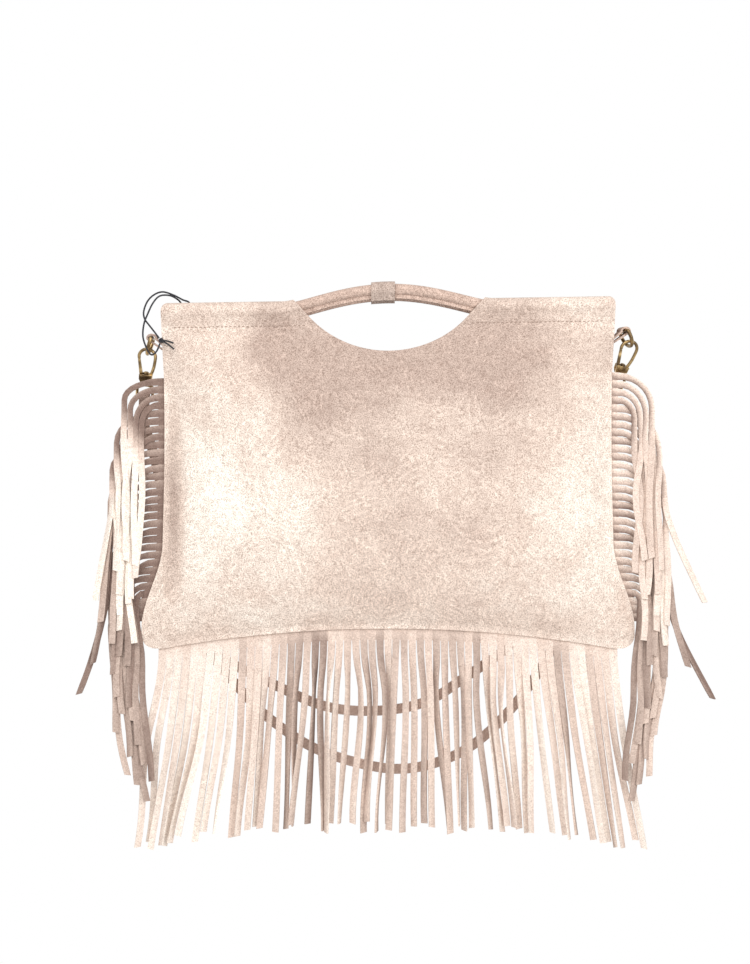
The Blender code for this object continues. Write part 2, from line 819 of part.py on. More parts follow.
def gate(name, place):
    """The sprung gate: a slim bar with a round foot on the pin."""
    reach = ARCH_RISE - HOOK_ARCH_R - NOSE_DROP - GAP - PIN_Z
    tip_x = -HOOK_ARCH_R + 0.0002 - PIN_X
    half = 0.0010
    foot_r = 0.0016
    outline = [(tip_x - half, reach), (-foot_r, 0.0)]
    for step in range(1, 6):
        angle = math.pi * (1.0 + step / 6.0)
        outline.append((foot_r * math.cos(angle), foot_r * math.sin(angle)))
    outline += [(foot_r, 0.0), (half - 0.0002, foot_r * 1.6), (tip_x + half, reach)]
    hole = circle(0.0, 0.0, PIN_R + GAP / 2.0, 8)
    made = plate(name + "_gate", [outline, hole], GATE_HALF_Y, BRASS_FINISH)
    made.matrix_world = place @ Matrix.Translation((PIN_X, 0.0, PIN_Z))
    pin = turned(name + "_gate_pin",
                 [(0.0, HOOK_BLOCK_HALF_Y), (PIN_R, HOOK_BLOCK_HALF_Y), (PIN_R, -HOOK_BLOCK_HALF_Y),
                  (0.0, -HOOK_BLOCK_HALF_Y)], BRASS_FINISH, 8)
    pin.matrix_world = (place @ Matrix.Translation((PIN_X, 0.0, PIN_Z))
                        @ Matrix.Rotation(math.pi / 2.0, 4, "X"))


def eye(name, place):
    """The swivel eye: a headed stem through the hook's block, and the loop that the strap takes."""
    collar_top = HOOK_BLOCK_FOOT - GAP
    collar_foot = collar_top - 0.0020
    head_foot = HOOK_BLOCK_TOP + GAP
    stem = turned(name + "_stem",
                  [(0.0, head_foot + 0.0012), (HEAD_R, head_foot + 0.0012), (HEAD_R, head_foot),
                   (STEM_R, head_foot), (STEM_R, collar_top), (0.0028, collar_top),
                   (0.0028, collar_foot), (0.0, collar_foot)], BRASS_FINISH)
    top = collar_foot - 0.0002
    bend = 0.0022
    points = [(-EYE_HALF + bend + 0.001, 0.0, top), (EYE_HALF - bend - 0.001, 0.0, top),
              (EYE_HALF - 0.0006, 0.0, top - bend * 0.6), (EYE_HALF, 0.0, top - bend * 1.6),
              (EYE_HALF, 0.0, EYE_BAR_Z + bend * 0.5), (EYE_HALF - bend * 0.5, 0.0, EYE_BAR_Z),
              (-EYE_HALF + bend * 0.5, 0.0, EYE_BAR_Z), (-EYE_HALF, 0.0, EYE_BAR_Z + bend * 0.5),
              (-EYE_HALF, 0.0, top - bend * 1.6), (-EYE_HALF + 0.0006, 0.0, top - bend * 0.6)]
    loop = to_mesh(wire(name + "_clip_eye", points, EYE_WIRE_R, BRASS_FINISH, True))
    join(loop, stem)
    loop.matrix_world = place


# Strap

def strap_eye(place):
    """Centre line of the strap's loop over an eye bar, rear to front, with its width direction."""
    half = STRAP_SUEDE / 2.0
    inner = EYE_WIRE_R + STRAP_SLACK
    radius = inner + half
    centre = EYE_BAR_Z - (STRAP_SLACK - STRAP_OVER)
    arcs = 6
    line = []
    for step in range(arcs + 1):
        angle = math.pi * step / arcs
        line.append(Vector((0.0, radius * math.cos(angle), centre + radius * math.sin(angle))))
    side = (place.to_3x3() @ Vector((1.0, 0.0, 0.0))).normalized()
    return [(place @ point, side) for point in line]


def smooth_line(points, per_span):
    """Points on a Catmull-Rom curve through the given points."""
    ends = [points[0] * 2.0 - points[1]] + points + [points[-1] * 2.0 - points[-2]]
    line = []
    for index in range(1, len(ends) - 2):
        a, b, c, d = ends[index - 1:index + 3]
        for step in range(per_span):
            t = step / per_span
            line.append(0.5 * (2.0 * b + (c - a) * t + (2.0 * a - 5.0 * b + 4.0 * c - d) * t * t
                               + (3.0 * b - a - 3.0 * c + d) * t ** 3))
    line.append(points[-1])
    return line


def run_sections(line, start_side, end_side, blend=0.060):
    """Width directions along a run: flat in the bag's plane, turning to the eyes' at its ends."""
    lengths = [0.0]
    for first, second in zip(line, line[1:]):
        lengths.append(lengths[-1] + (second - first).length)
    sections = []
    for index, point in enumerate(line):
        ahead = line[min(index + 1, len(line) - 1)] - line[max(index - 1, 0)]
        side = ahead.cross(Vector((0.0, 1.0, 0.0))).normalized()
        for fixed, distance in ((start_side, lengths[index]),
                                (end_side, lengths[-1] - lengths[index])):
            if fixed is None:
                continue
            target = fixed if fixed.dot(side) > 0.0 else -fixed
            side = side.lerp(target, 1.0 - smooth(distance / blend)).normalized()
        sections.append((point, side))
    return sections


# Strap route behind the bag: the long run below, the doubled run above it
LONG_RUN = ((-0.1890, 0.0215, -0.1250), (-0.1800, 0.0260, -0.1700), (-0.1690, 0.0270, -0.2200),
            (-0.1510, 0.0270, -0.2720), (-0.1200, 0.0270, -0.3130), (-0.0920, 0.0270, -0.3400),
            (-0.0520, 0.0270, -0.3640), (0.0060, 0.0270, -0.3776), (0.0536, 0.0270, -0.3670),
            (0.0900, 0.0270, -0.3400), (0.1250, 0.0270, -0.2950), (0.1520, 0.0270, -0.2380),
            (0.1700, 0.0265, -0.1800), (0.1820, 0.0235, -0.1250))
DOUBLED_RUN = ((0.1815, 0.0212, -0.1250), (0.1670, 0.0240, -0.1800), (0.1400, 0.0245, -0.2300),
               (0.1050, 0.0245, -0.2720), (0.0624, 0.0245, -0.3030), (0.0300, 0.0245, -0.3230),
               (-0.0100, 0.0245, -0.3300), (-0.0520, 0.0245, -0.3260), (-0.0980, 0.0245, -0.3060),
               (-0.1300, 0.0248, -0.2900), (-0.1420, 0.0248, -0.2815), (-0.1510, 0.0248, -0.2720),
               (-0.1560, 0.0248, -0.2590))
STUD_PLACE = 3


def strap(places):
    """One flat strap: sewn round the left eye, through the right eye, and back to the stud."""
    half = STRAP_SUEDE / 2.0
    pair = half + GAP / 2.0
    left_loop = strap_eye(places["left"])
    right_loop = strap_eye(places["right"])
    left_side, right_side = left_loop[0][1], right_loop[0][1]

    def below(place, y, drop):
        return place @ Vector((0.0, y, EYE_BAR_Z - drop))

    tail = [below(places["left"], -pair, 0.019), below(places["left"], -pair, 0.011)]
    sections = [(point, left_side) for point in tail]
    sections += left_loop[::-1]
    start = below(places["left"], pair, 0.011)
    finish = below(places["right"], pair, 0.011)
    back = below(places["right"], -pair, 0.011)
    straight = 0.020
    long_points = [start, below(places["left"], pair, straight)]
    long_points += [Vector(point) for point in LONG_RUN]
    long_points += [below(places["right"], pair, straight), finish]
    sections += run_sections(smooth_line(long_points, 2), left_side, right_side)
    sections += right_loop
    doubled_points = [back, below(places["right"], -pair, straight)]
    doubled_points += [Vector(point) for point in DOUBLED_RUN]
    sections += run_sections(smooth_line(doubled_points, 2), right_side, None)
    rows = []
    across = None
    for point, side in sections:
        if across is not None and side.dot(across) < 0.0:
            side = -side
        across = side
        rows.append([point - side * STRAP_WIDTH / 2.0, point + side * STRAP_WIDTH / 2.0])
    made = add("shoulder_strap", grid_mesh("shoulder_strap", rows), SUEDE_FINISH)
    thicken(made, STRAP_SUEDE)
    return made


def strap_stud(made):
    """A ball stud through both layers of the strap, and the cut holes it passes."""
    x, y, z = LONG_RUN[STUD_PLACE]
    front = DOUBLED_RUN[-2][1]
    middle = (y + front) / 2.0
    reach = (y - front) / 2.0 + STRAP_SUEDE / 2.0 + GAP
    place = Matrix.Translation((x, middle, z)) @ Matrix.Rotation(math.pi / 2.0, 4, "X")
    hole = round_cutter("stud_hole", STUD_POST_R + GAP, 0.020, place)
    boolean(made, hole, "DIFFERENCE")
    neck = reach + 0.0012
    profile = [(0.0, neck + 0.0052), (0.0020, neck + 0.0046), (STUD_HEAD_R, neck + 0.0026),
               (0.0022, neck + 0.0006), (STUD_POST_R, neck), (STUD_POST_R, -reach),
               (STUD_HEAD_R + 0.0008, -reach), (STUD_HEAD_R + 0.0008, -reach - 0.0010),
               (0.0, -reach - 0.0010)]
    stud = turned("strap_stud", profile, BRASS_FINISH, 10)
    stud.matrix_world = place


# Magnetic snap

def snap(name, side, crown, profile):
    """One half of the snap, flat on the inside of its panel below the hand opening."""
    step = 0.002
    out = panel_out(0.0, SNAP_Z, crown)
    slope = (panel_out(0.0, SNAP_Z + step, crown) - panel_out(0.0, SNAP_Z - step, crown)) / (2.0 * step)
    normal = Vector((0.0, side, -slope)).normalized()
    where = Vector((0.0, side * out, SNAP_Z)) - normal * (SUEDE / 2.0 + SNAP_SEAT)
    turn = Vector((0.0, 0.0, 1.0)).rotation_difference(normal).to_matrix().to_4x4()
    made = turned(name, profile, BRASS_FINISH, 12)
    made.matrix_world = Matrix.Translation(where) @ turn


# Tag cord

TAG_KNOT = Vector((-0.1800, -0.0132, -0.0318))
TAG_ROUTE = ((-0.1815, -0.0136, -0.0300), (-0.1856, -0.0148, -0.0245), (-0.1895, -0.0152, -0.0195),
             (-0.1928, -0.0146, -0.0150), (-0.1938, -0.0135, -0.0090), (-0.1912, -0.0120, -0.0010),
             (-0.1860, -0.0110, 0.0046), (-0.1790, -0.0106, 0.0070), (-0.1705, -0.0102, 0.0045),
             (-0.1632, -0.0094, 0.0008), (-0.1585, -0.0050, -0.0010), (-0.1560, -0.0016, -0.0080),
             (-0.1545, 0.0000, -0.0180), (-0.1560, 0.0000, -0.0260), (-0.1590, 0.0000, -0.0280),
             (-0.1618, 0.0000, -0.0240), (-0.1630, -0.0009, -0.0130), (-0.1650, -0.0040, -0.0018),
             (-0.1690, -0.0102, 0.0022), (-0.1745, -0.0118, 0.0042), (-0.1815, -0.0126, 0.0034),
             (-0.1866, -0.0136, -0.0024), (-0.1905, -0.0148, -0.0110), (-0.1932, -0.0166, -0.0190),
             (-0.1940, -0.0165, -0.0290), (-0.1912, -0.0160, -0.0380), (-0.1876, -0.0150, -0.0432),
             (-0.1836, -0.0140, -0.0405), (-0.1808, -0.0134, -0.0340))


def tag_cord():
    """The thin cord: out of the mouth in a doubled arc, crossing itself, to the knot on the tab."""
    points = smooth_line([Vector(point) for point in TAG_ROUTE], 2)
    wire("tag_cord", points, TAG_CORD_R, CORD_FINISH, False, 0)
    built = bmesh.new()
    bmesh.ops.create_uvsphere(built, u_segments=8, v_segments=5, radius=TAG_KNOT_R)
    built.transform(Matrix.Diagonal((1.1, 0.9, 1.0, 1.0)))
    mesh = bpy.data.meshes.new("tag_cord_knot")
    built.to_mesh(mesh)
    built.free()
    knot = add("tag_cord_knot", mesh, CORD_FINISH)
    knot.matrix_world = Matrix.Translation(TAG_KNOT)
    for name, end in (("upper", Vector((0.0100, -0.0014, -0.0022))),
                      ("lower", Vector((0.0105, -0.0018, -0.0070)))):
        points = [TAG_KNOT, TAG_KNOT + end * 0.5 + Vector((0.0, -0.0012, 0.0004)), TAG_KNOT + end]
        join(knot, to_mesh(wire("tag_tail_" + name, points, TAG_CORD_R * 1.1, CORD_FINISH)))


# Build

SUEDE_FINISH = material("suede", SUEDE_PALE, 0.85)
DARK_FINISH = material("suede_dark", SUEDE_DARK, 0.90)
BRASS_FINISH = material("antique_brass", BRASS, 0.35, 1.0)
STEEL_FINISH = material("rod_steel", STEEL, 0.40, 1.0)
CORD_FINISH = material("black_cord", BLACK_CORD, 0.80)

HAND_CUT = cutter("hand_opening", hand_outline(), -0.060, 0.060)

panel("front_panel", FRONT, FRONT_CROWN)
panel("back_panel", BACK, BACK_CROWN)
handle("front", FRONT)
handle("back", BACK)
bottom_fringe()

clips = {}
for label, (direction, ring_tilt, clip_tilt, turn) in SIDES.items():
    side_fringe(label, direction)
    tab(label, direction, turn)
    d_ring = wire(label + "_ring", ring_points(), RING_WIRE_R, BRASS_FINISH, True)
    d_ring.matrix_world = ring_place(direction, ring_tilt, turn)
    clips[label] = clip_place(direction, ring_tilt, clip_tilt, turn)
    hook(label, clips[label])
    gate(label, clips[label])
    eye(label, clips[label])

strap_stud(strap(clips))
snap("snap_socket", FRONT, FRONT_CROWN,
     [(0.0, 0.0), (SNAP_R, 0.0), (SNAP_R, -SNAP_T), (0.0034, -SNAP_T), (0.0034, -SNAP_T / 2.0),
      (0.0, -SNAP_T / 2.0)])
snap("snap_stud", BACK, BACK_CROWN,
     [(0.0, 0.0), (SNAP_R, 0.0), (SNAP_R, -SNAP_T * 0.6), (0.0030, -SNAP_T * 0.6),
      (0.0030, -SNAP_T * 1.3), (0.0, -SNAP_T * 1.3)])
tag_cord()
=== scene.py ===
"""Looks of the fringed suede bag: suede, fringe, stitching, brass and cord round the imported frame.

Units are metres. +X is right in front view, +Y goes to the back, +Z is up.
"""
from math import asin, cos, exp, pi, radians, sin, sqrt

import bmesh
import bpy
from mathutils import Matrix, Vector, noise

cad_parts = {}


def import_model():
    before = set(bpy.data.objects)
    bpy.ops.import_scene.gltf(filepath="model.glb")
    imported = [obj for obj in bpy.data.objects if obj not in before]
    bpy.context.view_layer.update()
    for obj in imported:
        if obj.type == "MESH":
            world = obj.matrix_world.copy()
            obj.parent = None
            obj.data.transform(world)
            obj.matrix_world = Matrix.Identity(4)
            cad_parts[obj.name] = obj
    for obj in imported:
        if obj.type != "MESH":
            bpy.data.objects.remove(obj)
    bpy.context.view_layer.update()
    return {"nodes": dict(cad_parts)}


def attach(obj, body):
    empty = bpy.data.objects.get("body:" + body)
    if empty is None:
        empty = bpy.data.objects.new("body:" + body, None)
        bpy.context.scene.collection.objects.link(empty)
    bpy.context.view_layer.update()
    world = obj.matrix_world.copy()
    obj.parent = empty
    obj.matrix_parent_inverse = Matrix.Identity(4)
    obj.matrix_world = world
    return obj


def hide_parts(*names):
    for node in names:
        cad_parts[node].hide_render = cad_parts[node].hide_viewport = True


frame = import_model()

# Leather and clearances
SUEDE = 0.0016
FRINGE_SUEDE = 0.0014
STRAP_SUEDE = 0.0018
WRAP_SUEDE = 0.0012
GAP = 0.0003

# Bag outline in front view
TOP_HALF = 0.18
WAIST_IN = 0.0015
FOOT_FLARE = 0.017
FLARE_START = 0.67
FLARE_END = 0.94
CORNER_R = 0.011
STITCH_Z = -0.0184
SEAM_CORNER_Z = -0.277
SEAM_ARCH = 0.016
TOP_LEAN = 0.0156
LEAN_FOOT_Z = -0.26
BODY_HEIGHT = STITCH_Z - SEAM_CORNER_Z

# Bag depth, from the seam plane
FRONT_CROWN = 0.024
BACK_CROWN = 0.018
PUFF_LENGTH = 0.036
SEAM_MARGIN = 0.004
SEAM_OUT = FRINGE_SUEDE / 2.0 + GAP + SUEDE / 2.0
TOP_DEPTH = 0.01
STITCH_IN = 0.001
FLAP_SHOW = 0.0035
FLAP_LEAN = 0.0008
NECK_SHARE = 0.24
NECK_EDGE_SHARE = 0.16
NECK_EDGE_WIDTH = 0.03

# Handle
ROD_R = 0.0028
ROD_HALF = 0.172
ROD_Z = -0.006
BOW_RISE = 0.015
BOW_HALF = 0.085
COVER_SUEDE = 0.0015
COVER_HALF = 0.09
FLANGE = 0.0025
WRAP_WIDTH = 0.019
WRAP_X = -0.004
COVER_R = ROD_R + GAP + COVER_SUEDE
TUNNEL_R = COVER_R + 2.5 * GAP + SUEDE / 2.0

# Hand opening
HAND_HALF = 0.0615
HAND_MOUTH = 0.0755
HAND_MOUTH_Z = 0.001
HAND_EDGE_Z = -0.014
HAND_FOOT_Z = -0.04

# Fringe
STRAND_LENGTH = 0.15
STRAND_PITCH = 0.0064
SLIT = 0.0004
BAND_TUCK = 0.006
BAND_SHOW = 0.009
BOTTOM_HALF = 0.1835
BOTTOM_SPREAD = 1.125
SIDE_TOP_Z = -0.0585
SIDE_FOOT_Z = -0.2556
SIDE_BAND_SHOW = 0.005
SHINGLE = 0.0018

# Hardware
RING_WIRE_R = 0.0015
RING_HALF = 0.009
RING_LEG = 0.004
RING_OUT = 0.0086
RING_Z = -0.0262
TAB_WIDTH = 0.009
TAB_DROP = 0.0165
TAB_SEWN_IN = 0.0022
TAB_FOLD = 0.56
TAB_STAGGER = 0.045
HOOK_WIRE_R = 0.0013
HOOK_ARCH_R = 0.0066
HOOK_BLOCK_TOP = -0.017
HOOK_BLOCK_FOOT = -0.0245
HOOK_BLOCK_HALF_Y = 0.003
NOSE_DROP = 0.0014
PIN_X = -0.0037
PIN_Z = HOOK_BLOCK_TOP - 0.002
STEM_R = 0.0015
HEAD_R = 0.0021
EYE_WIRE_R = 0.0012
EYE_HALF = 0.0063
EYE_BAR_Z = -0.038
CLIP_LEAN = radians(24.0)
ARCH_RISE = (RING_WIRE_R + HOOK_WIRE_R + GAP) / cos(CLIP_LEAN) + 2.0 * GAP

# Strap and tag cord
STRAP_WIDTH = 0.008
STRAP_SLACK = 0.0014
STRAP_OVER = 0.0009
TAG_CORD_R = 0.0007
TAG_KNOT_R = 0.0019
TAG_KNOT = Vector((-0.18, -0.0132, -0.0318))

LEFT, RIGHT = -1, 1
FRONT, BACK = -1, 1
FACES = (("front", FRONT, FRONT_CROWN), ("back", BACK, BACK_CROWN))
# Side of the bag: outward tilt of the ring, outward tilt of the clip, turn about the vertical
SIDES = {
    "left": (LEFT, radians(17.0), radians(7.0), 0.0),
    "right": (RIGHT, radians(25.0), radians(-13.0), radians(16.0)),
}


# Numbers and lines

# Points that a smooth line has for each one given
SPAN_STEPS = 6


def smooth(value):
    value = min(1.0, max(0.0, value))
    return value * value * (3.0 - 2.0 * value)


def mix(a, b, share):
    return a + (b - a) * share


def spread(low, high, count):
    return [mix(low, high, step / count) for step in range(count + 1)]


def wobble(index, salt):
    """A value of its own for each index and salt, between -1 and 1."""
    value = sin((index + 1) * 12.9898 + salt * 78.233) * 43758.5453
    return 2.0 * (value % 1.0) - 1.0


def soft(x, y, z=0.0):
    """A value that changes softly from place to place, between -1 and 1."""
    return noise.noise(Vector((x, y, z)))


def smooth_line(points):
    """Points on a Catmull-Rom curve through the given ones."""
    points = [Vector(point) for point in points]
    ends = [points[0] * 2.0 - points[1]] + points + [points[-1] * 2.0 - points[-2]]
    line = []
    for a, b, c, d in zip(ends, ends[1:], ends[2:], ends[3:]):
        for t in spread(0.0, 1.0, SPAN_STEPS)[:-1]:
            line.append(0.5 * (2.0 * b + (c - a) * t + (2.0 * a - 5.0 * b + 4.0 * c - d) * t * t
                               + (3.0 * b - a - 3.0 * c + d) * t ** 3))
    return line + [points[-1]]


def line_length(line):
    return sum((second - first).length for first, second in zip(line, line[1:]))


# Meshes

EDGE_ROUND = 0.0003
# Edges are sharp from this many degrees
LEATHER_ANGLE = 50.0
PANEL_ANGLE = 42.0
METAL_ANGLE = 35.0
KNOT_ANGLE = 60.0
THREAD_ANGLE = 180.0


def placed(name, data):
    made = bpy.data.objects.new(name, data)
    bpy.context.scene.collection.objects.link(made)
    return made


def mesh_piece(name, built):
    mesh = bpy.data.meshes.new(name)
    built.to_mesh(mesh)
    built.free()
    return placed(name, mesh)


def grid(name, rows, closed=False):
    """Quads through equal rows of points."""
    built = bmesh.new()
    lines = [[built.verts.new(point) for point in row] for row in rows]
    if closed:
        lines.append(lines[0])
    for low, high in zip(lines, lines[1:]):
        for index in range(len(low) - 1):
            built.faces.new((low[index], low[index + 1], high[index + 1], high[index]))
    bmesh.ops.recalc_face_normals(built, faces=built.faces)
    return mesh_piece(name, built)


def prism(name, outline, half, edge=0.0):
    """A block with an (x, z) outline, half deep to each side."""
    built = bmesh.new()
    near = [built.verts.new((x, -half, z)) for x, z in outline]
    far = [built.verts.new((x, half, z)) for x, z in outline]
    built.faces.new(near)
    built.faces.new(far[::-1])
    for index in range(len(outline)):
        after = (index + 1) % len(outline)
        built.faces.new((near[index], far[index], far[after], near[after]))
    bmesh.ops.recalc_face_normals(built, faces=built.faces)
    if edge:
        bmesh.ops.bevel(built, geom=list(built.edges), offset=edge, segments=3, affect="EDGES", profile=0.5)
    return mesh_piece(name, built)


def lathe(name, profile, steps):
    """A turned piece about local Z from (radius, height) points."""
    turns = [2.0 * pi * step / steps for step in range(steps)]
    built = bmesh.new()
    rings = []
    for radius, height in profile:
        if radius == 0.0:
            rings.append([built.verts.new((0.0, 0.0, height))])
        else:
            rings.append([built.verts.new((radius * cos(turn), radius * sin(turn), height))
                          for turn in turns])
    for low, high in zip(rings, rings[1:]):
        for step in range(steps):
            after = (step + 1) % steps
            if len(low) == 1:
                built.faces.new((low[0], high[after], high[step]))
            elif len(high) == 1:
                built.faces.new((low[step], low[after], high[0]))
            else:
                built.faces.new((low[step], low[after], high[after], high[step]))
    bmesh.ops.recalc_face_normals(built, faces=built.faces)
    return mesh_piece(name, built)


def tube(name, points, radius, closed=False, resolution=4):
    curve = bpy.data.curves.new(name, "CURVE")
    curve.dimensions = "3D"
    curve.bevel_depth = radius
    curve.bevel_resolution = resolution
    curve.use_fill_caps = not closed
    curve.twist_mode = "MINIMUM"
    spline = curve.splines.new("POLY")
    spline.points.add(len(points) - 1)
    for target, point in zip(spline.points, points):
        target.co = (*point, 1.0)
    spline.use_cyclic_u = closed
    spline.use_smooth = True
    return placed(name, curve)


def thicken(piece, thickness, edge=0.0):
    solid = piece.modifiers.new("Thickness", "SOLIDIFY")
    solid.thickness = thickness
    solid.offset = 0.0
    solid.use_even_offset = True
    if edge:
        bevel = piece.modifiers.new("Edge", "BEVEL")
        bevel.width = edge
        bevel.segments = 2
        bevel.limit_method = "ANGLE"
        bevel.angle_limit = radians(LEATHER_ANGLE)
    return piece


def evaluated(piece):
    """The piece with its modifiers made real."""
    bpy.context.view_layer.update()
    graph = bpy.context.evaluated_depsgraph_get()
    mesh = bpy.data.meshes.new_from_object(piece.evaluated_get(graph))
    name = piece.name
    place = piece.matrix_world.copy()
    bpy.data.objects.remove(piece, do_unlink=True)
    mesh.name = name
    made = placed(name, mesh)
    made.matrix_world = place
    return made


def joined(name, pieces):
    """One mesh object from several, each where it stood."""
    built = bmesh.new()
    for piece in pieces:
        real = evaluated(piece)
        mesh = real.data
        mesh.transform(real.matrix_world)
        built.from_mesh(mesh)
        bpy.data.objects.remove(real, do_unlink=True)
    return mesh_piece(name, built)


def shade(piece, angle):
    for face in piece.data.polygons:
        face.use_smooth = True
    piece.data.set_sharp_from_angle(angle=radians(angle))
    return piece


def leather(piece, thickness, edge=0.0):
    return shade(evaluated(thicken(piece, thickness, edge)), LEATHER_ANGLE)


def dress(piece, finish, slot, *nodes, body="bag"):
    """Gives a piece its material, hides the CAD nodes that it stands for and sets its body. The slot is not
    used.
    """
    piece.data.materials.clear()
    piece.data.materials.append(finish)
    if nodes:
        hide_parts(*nodes)
    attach(piece, body)


# Materials

# Name of the points' values that make a strand paler or darker, from its own tone and from painted shade
TONE = "tone"
# Noises: scale, detail, roughness and distortion
CLOUDS = (21.0, 5.0, 0.58, 0.5)
MOTTLE = (210.0, 4.0, 0.6, 0.6)
NAP = (1150.0, 2.0, 0.75, 0.0)
AREAS = (62.0, 3.0, 0.6, 0.0)
SCRATCH_DRIFT = (30.0, 1.0, 0.5, 0.0)
WEAR = (150.0, 1.0, 0.5, 0.0)
# Stops of the ramps: place, then value or colour
MOTTLE_STOPS = ((0.34, (0.89, 0.865, 0.855)), (0.5, 1.0), (0.66, 1.08))
NAP_STOPS = ((0.36, (0.58, 0.53, 0.505)), (0.5, 1.0), (0.64, 1.3))
AREA_STOPS = ((0.47, 0.0), (0.6, 1.0))
SCRATCH_STOPS = ((0.2, (0.955, 0.945, 0.94)), (0.55, 1.0), (0.95, 1.15))
WEAR_STOPS = ((0.36, (0.15, 0.1, 0.052)), (0.52, (0.36, 0.25, 0.12)), (0.68, (0.72, 0.52, 0.26)))
# Scratches: centres to the metre, their drift, the waves round each, and the strength
SCRATCH_CENTRES = 16.0
SCRATCH_PUSH = 0.014
SCRATCH_WAVES = 100.0
SCRATCH_SHARE = 0.85
NAP_BUMP = {"Strength": 0.35, "Distance": 0.0006}
MOTTLE_BUMP = {"Strength": 0.45 * 0.35, "Distance": 0.0012}
SUEDE_ROUGHNESS = 0.86
SUEDE_SPECULAR = 0.25


def shader(name, roughness, metallic=0.0):
    made = bpy.data.materials.new(name)
    made.use_nodes = True
    surface = made.node_tree.nodes["Principled BSDF"]
    surface.inputs["Roughness"].default_value = roughness
    surface.inputs["Metallic"].default_value = metallic
    return made, made.node_tree, surface


def feed(tree, socket, value):
    """Links a socket to another node's output, or sets a value on it."""
    if isinstance(value, bpy.types.NodeSocket):
        tree.links.new(value, socket)
    else:
        socket.default_value = value


def node(tree, kind, **given):
    made = tree.nodes.new("ShaderNode" + kind)
    for name, value in given.items():
        feed(tree, made.inputs[name], value)
    return made


def on_bag(tree):
    return node(tree, "TexCoord").outputs["Object"]


def clouds(tree, scale, detail, rough, distortion):
    """Outputs of a noise: its value first, then its colour."""
    return node(tree, "TexNoise", Vector=on_bag(tree), Scale=scale, Detail=detail, Roughness=rough,
                Distortion=distortion).outputs


def ramp(tree, source, stops):
    made = node(tree, "ValToRGB", Fac=source)
    keys = made.color_ramp.elements
    while len(keys) < len(stops):
        keys.new(0.5)
    for key, (place, value) in zip(keys, stops):
        key.position = place
        key.color = (*value, 1.0) if isinstance(value, tuple) else (value, value, value, 1.0)
    return made.outputs["Color"]


def multiplied(tree, share, first, second):
    made = node(tree, "Mix")
    made.data_type = "RGBA"
    made.blend_type = "MULTIPLY"
    for place, value in ((0, share), (6, first), (7, second)):
        feed(tree, made.inputs[place], value)
    return made.outputs[2]


def value_of(tree, operation, *terms, kind="Math"):
    """A math node's result."""
    made = node(tree, kind)
    made.operation = operation
    for place, term in enumerate(terms):
        feed(tree, made.inputs[place], term)
    return made.outputs[0]


def patch(tree, x, z, half_x, half_z):
    """A soft round patch: 1 at its middle and 0 at its rim."""
    mapping = node(tree, "Mapping", Vector=on_bag(tree), Location=(-x / half_x, 0.0, -z / half_z),
                   Scale=(1.0 / half_x, 0.0, 1.0 / half_z))
    fade = node(tree, "TexGradient", Vector=mapping.outputs[0])
    fade.gradient_type = "SPHERICAL"
    return fade.outputs["Fac"]


def scratches(tree):
    """Fans of fine arcs, each round a centre of its own."""
    drift = clouds(tree, *SCRATCH_DRIFT)["Color"]
    push = (SCRATCH_PUSH,) * 3
    pushed = value_of(tree, "MULTIPLY_ADD", drift, push, on_bag(tree), kind="VectorMath")
    centres = node(tree, "TexVoronoi", Vector=pushed, Scale=SCRATCH_CENTRES)
    waves = value_of(tree, "MULTIPLY", centres.outputs["Distance"], SCRATCH_WAVES)
    return value_of(tree, "MULTIPLY_ADD", value_of(tree, "SINE", waves), 0.5, 0.5)


def suede(name, pale, mid, dark, cloudy, painted_light_and_shade=(), toned=False, marks=1.0, nap_share=1.0):
    """Distressed suede: soft clouds, painted light and shade in soft patches, swirls of fine scratches and a
    speckled nap.
    """
    made, tree, surface = shader(name, SUEDE_ROUGHNESS)
    level = value_of(tree, "MULTIPLY_ADD", clouds(tree, *CLOUDS)[0], cloudy, 0.5 - 0.5 * cloudy)
    # Painted light and shade: each patch raises or lowers the level round its middle
    for x, z, half_x, half_z, strength in painted_light_and_shade:
        level = value_of(tree, "MULTIPLY_ADD", patch(tree, x, z, half_x, half_z), strength, level)
    if toned:
        tone = node(tree, "Attribute")
        tone.attribute_name = TONE
        level = value_of(tree, "ADD", level, tone.outputs["Fac"])
    colour = ramp(tree, level, ((0.0, dark), (0.5, mid), (1.0, pale)))
    mottle = clouds(tree, *MOTTLE)[0]
    colour = multiplied(tree, marks, colour, ramp(tree, mottle, MOTTLE_STOPS))
    areas = ramp(tree, clouds(tree, *AREAS)[0], AREA_STOPS)
    share = value_of(tree, "MULTIPLY", areas, SCRATCH_SHARE * marks)
    colour = multiplied(tree, share, colour, ramp(tree, scratches(tree), SCRATCH_STOPS))
    nap = clouds(tree, *NAP)[0]
    colour = multiplied(tree, nap_share, colour, ramp(tree, nap, NAP_STOPS))
    tree.links.new(colour, surface.inputs["Base Color"])
    surface.inputs["Specular IOR Level"].default_value = SUEDE_SPECULAR
    normal = node(tree, "Bump", Height=nap, **NAP_BUMP).outputs[0]
    normal = node(tree, "Bump", Height=mottle, Normal=normal, **MOTTLE_BUMP).outputs[0]
    tree.links.new(normal, surface.inputs["Normal"])
    return made


def antique(name, roughness):
    """Darkened brass, rubbed bright in patches."""
    made, tree, surface = shader(name, roughness, 1.0)
    tree.links.new(ramp(tree, clouds(tree, *WEAR)[0], WEAR_STOPS), surface.inputs["Base Color"])
    return made


def plain(name, colour, roughness, metallic=0.0):
    made, tree, surface = shader(name, roughness, metallic)
    feed(tree, surface.inputs["Base Color"], (*colour, 1.0))
    return made
